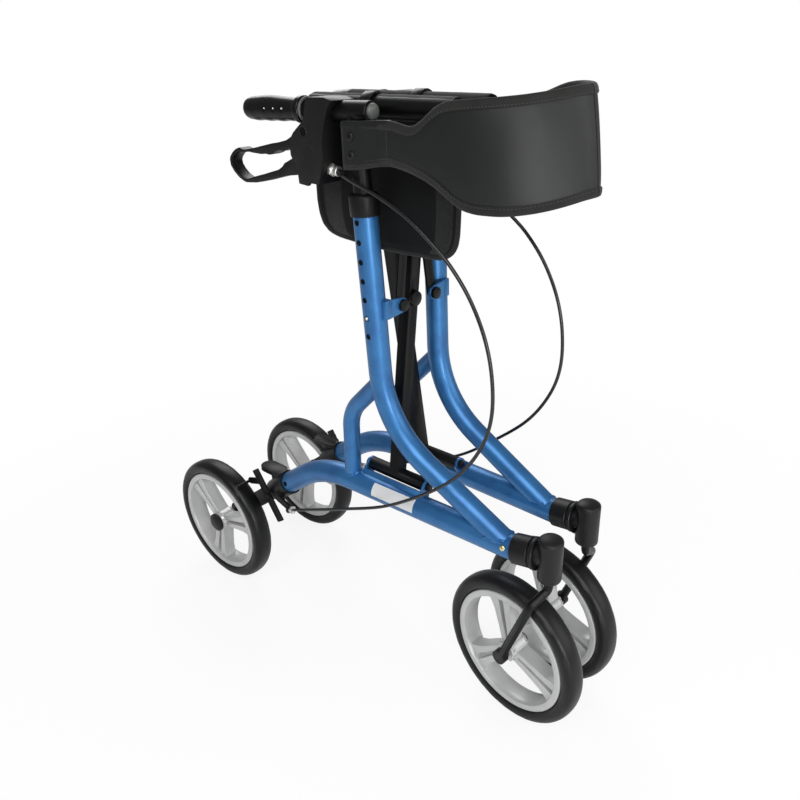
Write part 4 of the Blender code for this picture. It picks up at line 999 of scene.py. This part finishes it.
# Brake cables
FAR_CABLE_BACK = 0.0095
CABLE_ROUTE = (
    (0.2970, 0.0700, 0.6737), (0.3080, 0.0752, 0.6712), (0.3240, 0.0785, 0.6670),
    (0.3400, 0.0795, 0.6625), (0.3548, 0.0800, 0.6580), (0.3798, 0.0800, 0.6482),
    (0.4066, 0.0800, 0.6349), (0.4327, 0.0800, 0.6168), (0.4582, 0.0800, 0.5960),
    (0.4834, 0.0800, 0.5650), (0.5025, 0.0800, 0.5263), (0.5120, 0.0800, 0.4844),
    (0.5120, 0.0800, 0.4400), (0.4993, 0.0800, 0.3998), (0.4707, 0.0800, 0.3562),
    (0.4260, 0.0800, 0.3144), (0.3526, 0.0800, 0.2641), (0.2756, 0.0800, 0.2274),
    (0.2050, 0.0790, 0.1960), (0.1612, 0.0775, 0.1765))


def cables():
    """Each cable runs from its lever's adjuster to the stop on the rear brake."""
    for side, s in SIDES:
        back = FAR_CABLE_BACK if s > 0 else 0.0
        line = smooth_line([P(x - back * max(0.0, min(1.0, (x - 0.34) / 0.06)), s * y, z)
                            for x, y, z in CABLE_ROUTE], 160)
        jacket = add(f"cable_{side}", tube(line, 0.0021, 6), CABLE, None, 60,
                     (f"brake_cable_{side}",))
        add(f"cable_boot_{side}", tube(line[:3], 0.0030, 6), PLASTIC, f"{side}_handle", 60)
        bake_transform(jacket)


# Side frames
HOLE_PITCH = 0.0224
HOLE_TOP = 0.6216
POST_TOP = 0.6510
POST_SLOPE = (MAIN_BEND[0] - POST_X) / (MAIN_BEND[1] - POST_Z)
STRUT_ANGLE = radians(45.6)
TAB = (
    (-0.0540, 0.5075), (-0.0300, 0.5098), (-0.0235, 0.5125), (-0.0208, 0.5190), (-0.0235, 0.5255),
    (-0.0300, 0.5282), (-0.0540, 0.5305))


def post_place(z):
    """The (x, z) of the main tube's post at height z."""
    return POST_X + POST_SLOPE * (z - POST_Z), z


def filleted(points, radius):
    """A path whose inner corners are arcs of the radius."""
    path = [points[0]]
    for before, corner, after in zip(points, points[1:], points[2:]):
        back = (before - corner).normalized()
        ahead = (after - corner).normalized()
        turn = pi - back.angle(ahead)
        centre = corner + (back + ahead).normalized() * radius / cos(turn / 2)
        start = corner + back * radius * tan(turn / 2) - centre
        axis = start.cross(corner + ahead * radius * tan(turn / 2) - centre).normalized()
        for index in range(15):
            path.append(centre + Matrix.Rotation(turn * index / 14, 3, axis) @ start)
    path.append(points[-1])
    return path


def height_holes(side, s):
    """The post's seven adjustment holes, each a flat dark disc of painted shade in a pressed rim.
    """
    down = (on_frame(post_place(0.4), s) - on_frame(post_place(0.6), s)).normalized()
    out = square(Vector((0, s, 0)), down).normalized()
    top = on_frame(post_place(HOLE_TOP), s)
    dark, rims = [], []
    for number in range(7):
        centre = top + down * HOLE_PITCH * number + out * MAIN_RADIUS
        # A flat near-black disc: painted shade standing for the hole's depth.
        dark.append(lathe(((-0.0006, 0.0), (-0.0006, 0.0033), (0.0002, 0.0033), (0.0002, 0.0)),
                          centre, out, 24))
        rims.append(lathe(((-0.0006, 0.0033), (0.0003, 0.0034), (0.0002, 0.0040),
                           (-0.0006, 0.0042)), centre, out, 24, closed=True))
    add(f"height_holes_{side}", joined(dark), DARK, f"{side}_frame", 60)
    add(f"height_rims_{side}", joined(rims), BLUE, f"{side}_frame", 60)


def frame_tubes(side, s):
    """The side frame's three bent tubes and the fold link's tab."""
    strut_top = (STRUT_KNEE[0] + 0.082 * cos(STRUT_ANGLE), STRUT_KNEE[1] + 0.082 * sin(STRUT_ANGLE))
    main, low, strut = (
        tube(filleted([on_frame(place, s) for place in path], bend_radius), radius, 12)
        for radius, bend_radius, path in (
            (MAIN_RADIUS, 0.13, (post_place(POST_TOP), MAIN_BEND, MAIN_FOOT)),
            (LOWER_RADIUS, 0.16, (LOWER_REAR, LOWER_BEND, LOWER_FRONT)),
            (STRUT_RADIUS, 0.06, (STRUT_FOOT, STRUT_KNEE, strut_top))))
    tab = plate(TAB, 0.00175, 0.0004)
    tab.transform(Matrix.Translation(P(0.34675, 0, 0)) @ Matrix.Rotation(pi / 2, 4, "Z"))
    if s > 0:
        tab.transform(Matrix.Scale(-1, 4, (0, 1, 0)))
        tab.flip_normals()
    root = rounded(block(P(0.3340, s * 0.0600, 0.5075), P(0.3485, s * 0.0480, 0.5305)), 0.001)
    for label, mesh, stands_for in (("main", joined([main, tab, root]), "main_tube"),
                                    ("lower", low, "lower_tube"), ("strut", strut, "rear_strut")):
        add(f"{label}_{side}", mesh, BLUE, f"{side}_frame", 40, (f"{stands_for}_{side}",))


def weld_bead(points, radius, seed):
    """A rippled bead of weld metal along a line."""
    line = smooth_line(points, 60)
    rows = []
    for index, point in enumerate(line):
        ahead = heading(line, index).normalized()
        first = ahead.orthogonal().normalized()
        second = ahead.cross(first)
        rough = noise.noise(point * 300 + Vector((seed, 0, 0)))
        size = radius * (1 + 0.22 * sin(index * 1.5) + 0.2 * rough)
        if index in (0, 59):
            size *= 0.3
        rows.append([point + first * (size * c) + second * (size * s) for c, s in circle(10)])
    return capped(rows)


def saddle(centre, way, radius, other, other_way, other_radius):
    """Points round a tube where it meets another tube's surface."""
    way = way.normalized()
    other_way = other_way.normalized()
    first = way.orthogonal().normalized()
    second = way.cross(first)
    points = []
    for k in range(49):
        angle = tau * k / 48
        start = centre + (first * cos(angle) + second * sin(angle)) * radius
        clear, inside = -0.06, 0.10
        for _ in range(30):
            middle = (clear + inside) / 2
            if square(start + way * middle - other, other_way).length > other_radius:
                clear = middle
            else:
                inside = middle
        points.append(start + way * inside)
    return points


def welds(side, s):
    """The beads at the strut's foot and over the main tube's foot."""
    foot, knee, tip = (on_frame(place, s) for place in (STRUT_FOOT, STRUT_KNEE, MAIN_FOOT))
    low = on_frame((0.30, 0.26), s)
    along = on_frame((0.50, 0.26), s) - low
    strut = saddle(knee, foot - knee, STRUT_RADIUS, low, along, LOWER_RADIUS)
    back = on_frame((0.4300, 0.3100), s)
    main = saddle(back, tip - back, MAIN_RADIUS, low, along, LOWER_RADIUS)
    top = sorted((point for point in main if point.z > tip.z + 0.004), key=lambda point: point.y)
    for label, bead in (("strut", weld_bead(strut, 0.0016, 1.0)),
                        ("main", weld_bead(top[::3], 0.0017, 2.0))):
        add(f"{label}_weld_{side}", bead, BLUE, f"{side}_frame", 60)


def front_head(side, s):
    """The lower tube's collar with its flange, and the caster's upright housing."""
    end = on_frame(LOWER_FRONT, s)
    y = s * STEM_Y
    stem = P(STEM_X, y, 0.2672)
    reach = (stem - end).length
    collar = lathe(((0.0001, 0.0120), (0.0001, 0.0174), (0.0008, 0.0182), (0.0222, 0.0184),
                    (0.0230, 0.0176), (0.0232, 0.0160), (0.0250, 0.0160), (0.0252, 0.0186),
                    (0.0258, 0.0194), (0.0296, 0.0194), (0.0304, 0.0186), (0.0306, 0.0135),
                    (reach, 0.0120), (reach, 0.0)), end, (stem - end).normalized(), 64)
    house = lathe(((0.0, 0.0), (0.0, 0.0128), (0.0008, 0.0138), (0.0020, 0.0143),
                   (0.0515, 0.0145), (0.0519, 0.0141), (0.0523, 0.0141), (0.0527, 0.0145),
                   (0.0540, 0.0141), (0.0552, 0.0128), (0.0566, 0.0095), (0.0576, 0.0048),
                   (0.0580, 0.0)), P(STEM_X, y, 0.2360), (0, 0, 1), 64)
    rib = rounded(block(P(0.5530, y - 0.0030, 0.2420), P(0.5680, y + 0.0030, 0.2800)), 0.0008)
    add(f"head_{side}", joined([collar, house, rib]), PLASTIC, f"{side}_frame", 35,
        (f"front_head_{side}",))


def brake_plate(side, s):
    """The brake's flat lever, its arm and the rod that meets the tyre."""
    low = Vector((0.1257, 0.1475))
    top = Vector((0.0831, 0.2125))
    way = (top - low).normalized()
    across = Vector((way.y, -way.x)) * 0.0072
    a = low - way * 0.0055
    b = top + way * 0.0045
    lever = plate(round_loop([a - across, a + across, b + across, b - across], 0.0014),
                  0.0015, 0.0003)
    arm = plate(round_loop([(0.0900, 0.2048), (0.0610, 0.1950), (0.0600, 0.1880),
                            (0.0660, 0.1860), (0.0930, 0.1950)], 0.003), 0.0012, 0.0003)
    for mesh in (lever, arm):
        mesh.transform(Matrix.Translation(P(0, s * BRAKE_Y, 0)))
    bar = tube([P(0.0640, s * BRAKE_Y, 0.1905), P(0.0640, s * 0.1035, 0.1905)], 0.0024, 5)
    pivot = lathe(((0.0, 0.0), (0.0, 0.0050), (0.0006, 0.0054), (0.0022, 0.0050),
                   (0.0028, 0.0036), (0.0029, 0.0)), P(0.1050, s * 0.0791, 0.1790), (0, s, 0), 32)
    add(f"brake_plate_{side}", joined([lever, arm, bar, pivot]), BLACK_METAL,
        nodes[f"brake_arm_{side}"]["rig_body"], 35, (f"brake_arm_{side}",))


def label_plate(s):
    """A bare film label bent round the outer side of the lower tube."""
    def place(index, share, face):
        x = 0.3150 + (0.3840 - 0.3150) * index / 24
        radius = 0.01605 if face > 0 else 0.01570
        angle = radians(-4 + 66 * share)
        y = frame_y(x, 0.26) + radius * cos(angle)
        return P(x, s * y, 0.26 + radius * sin(angle))

    return closed_sheet(25, 12, place)


def rivet(place, way):
    radius = 0.0037
    return lathe(((-0.001, 0), (-0.001, radius), (0.0002, radius), (0.0010, radius * 0.85),
                  (0.0016, radius * 0.5), (0.0017, 0.0)), place, way, 28)


def frame_details():
    """Rivets in the lower tubes, the label on the near side and the cable stops' nuts."""
    for side, s in SIDES:
        body = f"{side}_frame"
        for label, x, y, z, angle, material in (
                ("front", 0.5185, frame_y(0.517, 0.262), 0.26, 18, BRASS),
                ("rear", 0.1400, frame_y(0.14, 0.2078), 0.2078, 8, DARK)):
            out = Vector((0, s * cos(radians(angle)), sin(radians(angle))))
            place = P(*(Vector((x, s * y, z)) + out * 0.0157))
            add(f"rivet_{label}_{side}", rivet(place, out), material, body, 40)
        if s < 0:
            add("label_plate", label_plate(s), LABEL_AND_GLINT, body, 60, slot="rim_silver")
        stop = P(0.1600, s * 0.0775, 0.1760)
        way = (P(0.2050, s * 0.0790, 0.1960) - stop).normalized()
        nut = lathe(((0, 0.0), (0, 0.0056), (0.0005, 0.0060), (0.0038, 0.0060), (0.0043, 0.0055),
                     (0.0043, 0.0)), stop - way * 0.0036, way, 6)
        add(f"stop_nut_{side}", nut, STEEL, body, 30)


def side_frames():
    for side, s in SIDES:
        frame_tubes(side, s)
        height_holes(side, s)
        welds(side, s)
        skin(f"brace_channel_{side}", BLUE, 0.0005)
        front_head(side, s)
        brake_plate(side, s)
        skin(f"post_collar_{side}", BLACK_METAL, 0.0006, "black_plastic")
        for label, material, bevel in (
                ("rear_socket", PLASTIC, 0.0008), ("rear_axle", PLASTIC, 0),
                ("caster_fork", BLACK_METAL, 0), ("fold_link", BLACK_METAL, 0.0004),
                ("spring_button", STEEL, 0)):
            skin(f"{label}_{side}", material, bevel)


# Floor, light and background
FLOOR_HALF = 12
LIGHTS = (
    ("key", (1.1, -1.9, 2.2), 52, 1.8), ("fill", (2.4, 0.7, 1.3), 22, 1.8),
    ("rim", (-1.6, 1.3, 2.0), 28, 1.6), ("low", (1.50, -0.78, 0.50), 9, 0.5))


def studio_floor():
    """A pale floor that keeps its shadows near the rollator and fades to white far from it."""
    made, tree, shader = new_material("floor", (0.86, 0.86, 0.86), 0.9)
    place = node(tree, "TexCoord")
    fine = node(tree, "TexNoise", Scale=3.0)
    ramp = ramp_node(tree, 0.0, (0.86, 0.86, 0.86), 1.0, (0.90, 0.90, 0.90))
    camera_ray = node(tree, "LightPath")
    glow = node(tree, "Emission", Color=(1, 1, 1, 1), Strength=1.0)
    mix = node(tree, "MixShader")
    far = node(tree, "VectorMath", operation="LENGTH")
    spread = node(tree, "MapRange", **{"From Min": 0.30, "From Max": 1.10, "To Min": 0.86,
                                       "To Max": 1.0})
    share = math_node(tree, "MULTIPLY")
    wire(tree, (place, "Object", fine, "Vector"), (fine, "Fac", ramp, "Fac"),
         (ramp, "Color", shader, "Base Color"), (place, "Object", far, 0),
         (far, "Value", spread, "Value"), (spread, "Result", share, 1),
         (camera_ray, "Is Camera Ray", share, 0), (share, "Value", mix, "Fac"),
         (shader, "BSDF", mix, 1), (glow, "Emission", mix, 2),
         (mix, "Shader", tree.nodes["Material Output"], "Surface"))
    floor = bpy.data.meshes.new("floor")
    corners = [(x * FLOOR_HALF, y * FLOOR_HALF, 0) for x, y in ((-1, -1), (1, -1), (1, 1), (-1, 1))]
    floor.from_pydata(corners, [], [(0, 1, 2, 3)])
    floor.materials.append(made)
    placed("floor", floor)


def studio_world():
    """Soft light from all round, with a plain white background."""
    world = bpy.data.worlds.new("studio")
    world.use_nodes = True
    bpy.context.scene.world = world
    tree = world.node_tree
    back = tree.nodes["Background"]
    back.inputs["Color"].default_value = (1, 1, 1, 1)
    back.inputs["Strength"].default_value = 0.28
    seen = node(tree, "Background", Color=(1, 1, 1, 1), Strength=1.0)
    choose = node(tree, "MixShader")
    path = node(tree, "LightPath")
    either = math_node(tree, "MAXIMUM")
    wire(tree, (path, "Is Camera Ray", either, 0), (path, "Is Transmission Ray", either, 1),
         (either, "Value", choose, "Fac"), (back, "Background", choose, 1),
         (seen, "Background", choose, 2),
         (choose, "Shader", tree.nodes["World Output"], "Surface"))


def studio_lights():
    for label, where, energy, size in LIGHTS:
        lamp = bpy.data.lights.new(label, "AREA")
        lamp.energy = energy
        lamp.size = size
        made = placed(label, lamp)
        made.location = where
        aim = Vector((0, 0, 0.4)) - Vector(where)
        made.rotation_euler = aim.to_track_quat("-Z", "Y").to_euler()


make_camera()
cables()
wheels()
side_frames()
for arm in ("brace_arm_front", "brace_arm_rear"):
    skin(arm, BLACK_METAL, 0.0008)
handles()
strap()
seat_and_bag()
frame_details()
bpy.context.scene.view_settings.view_transform = "Standard"
studio_floor()
studio_world()
studio_lights()
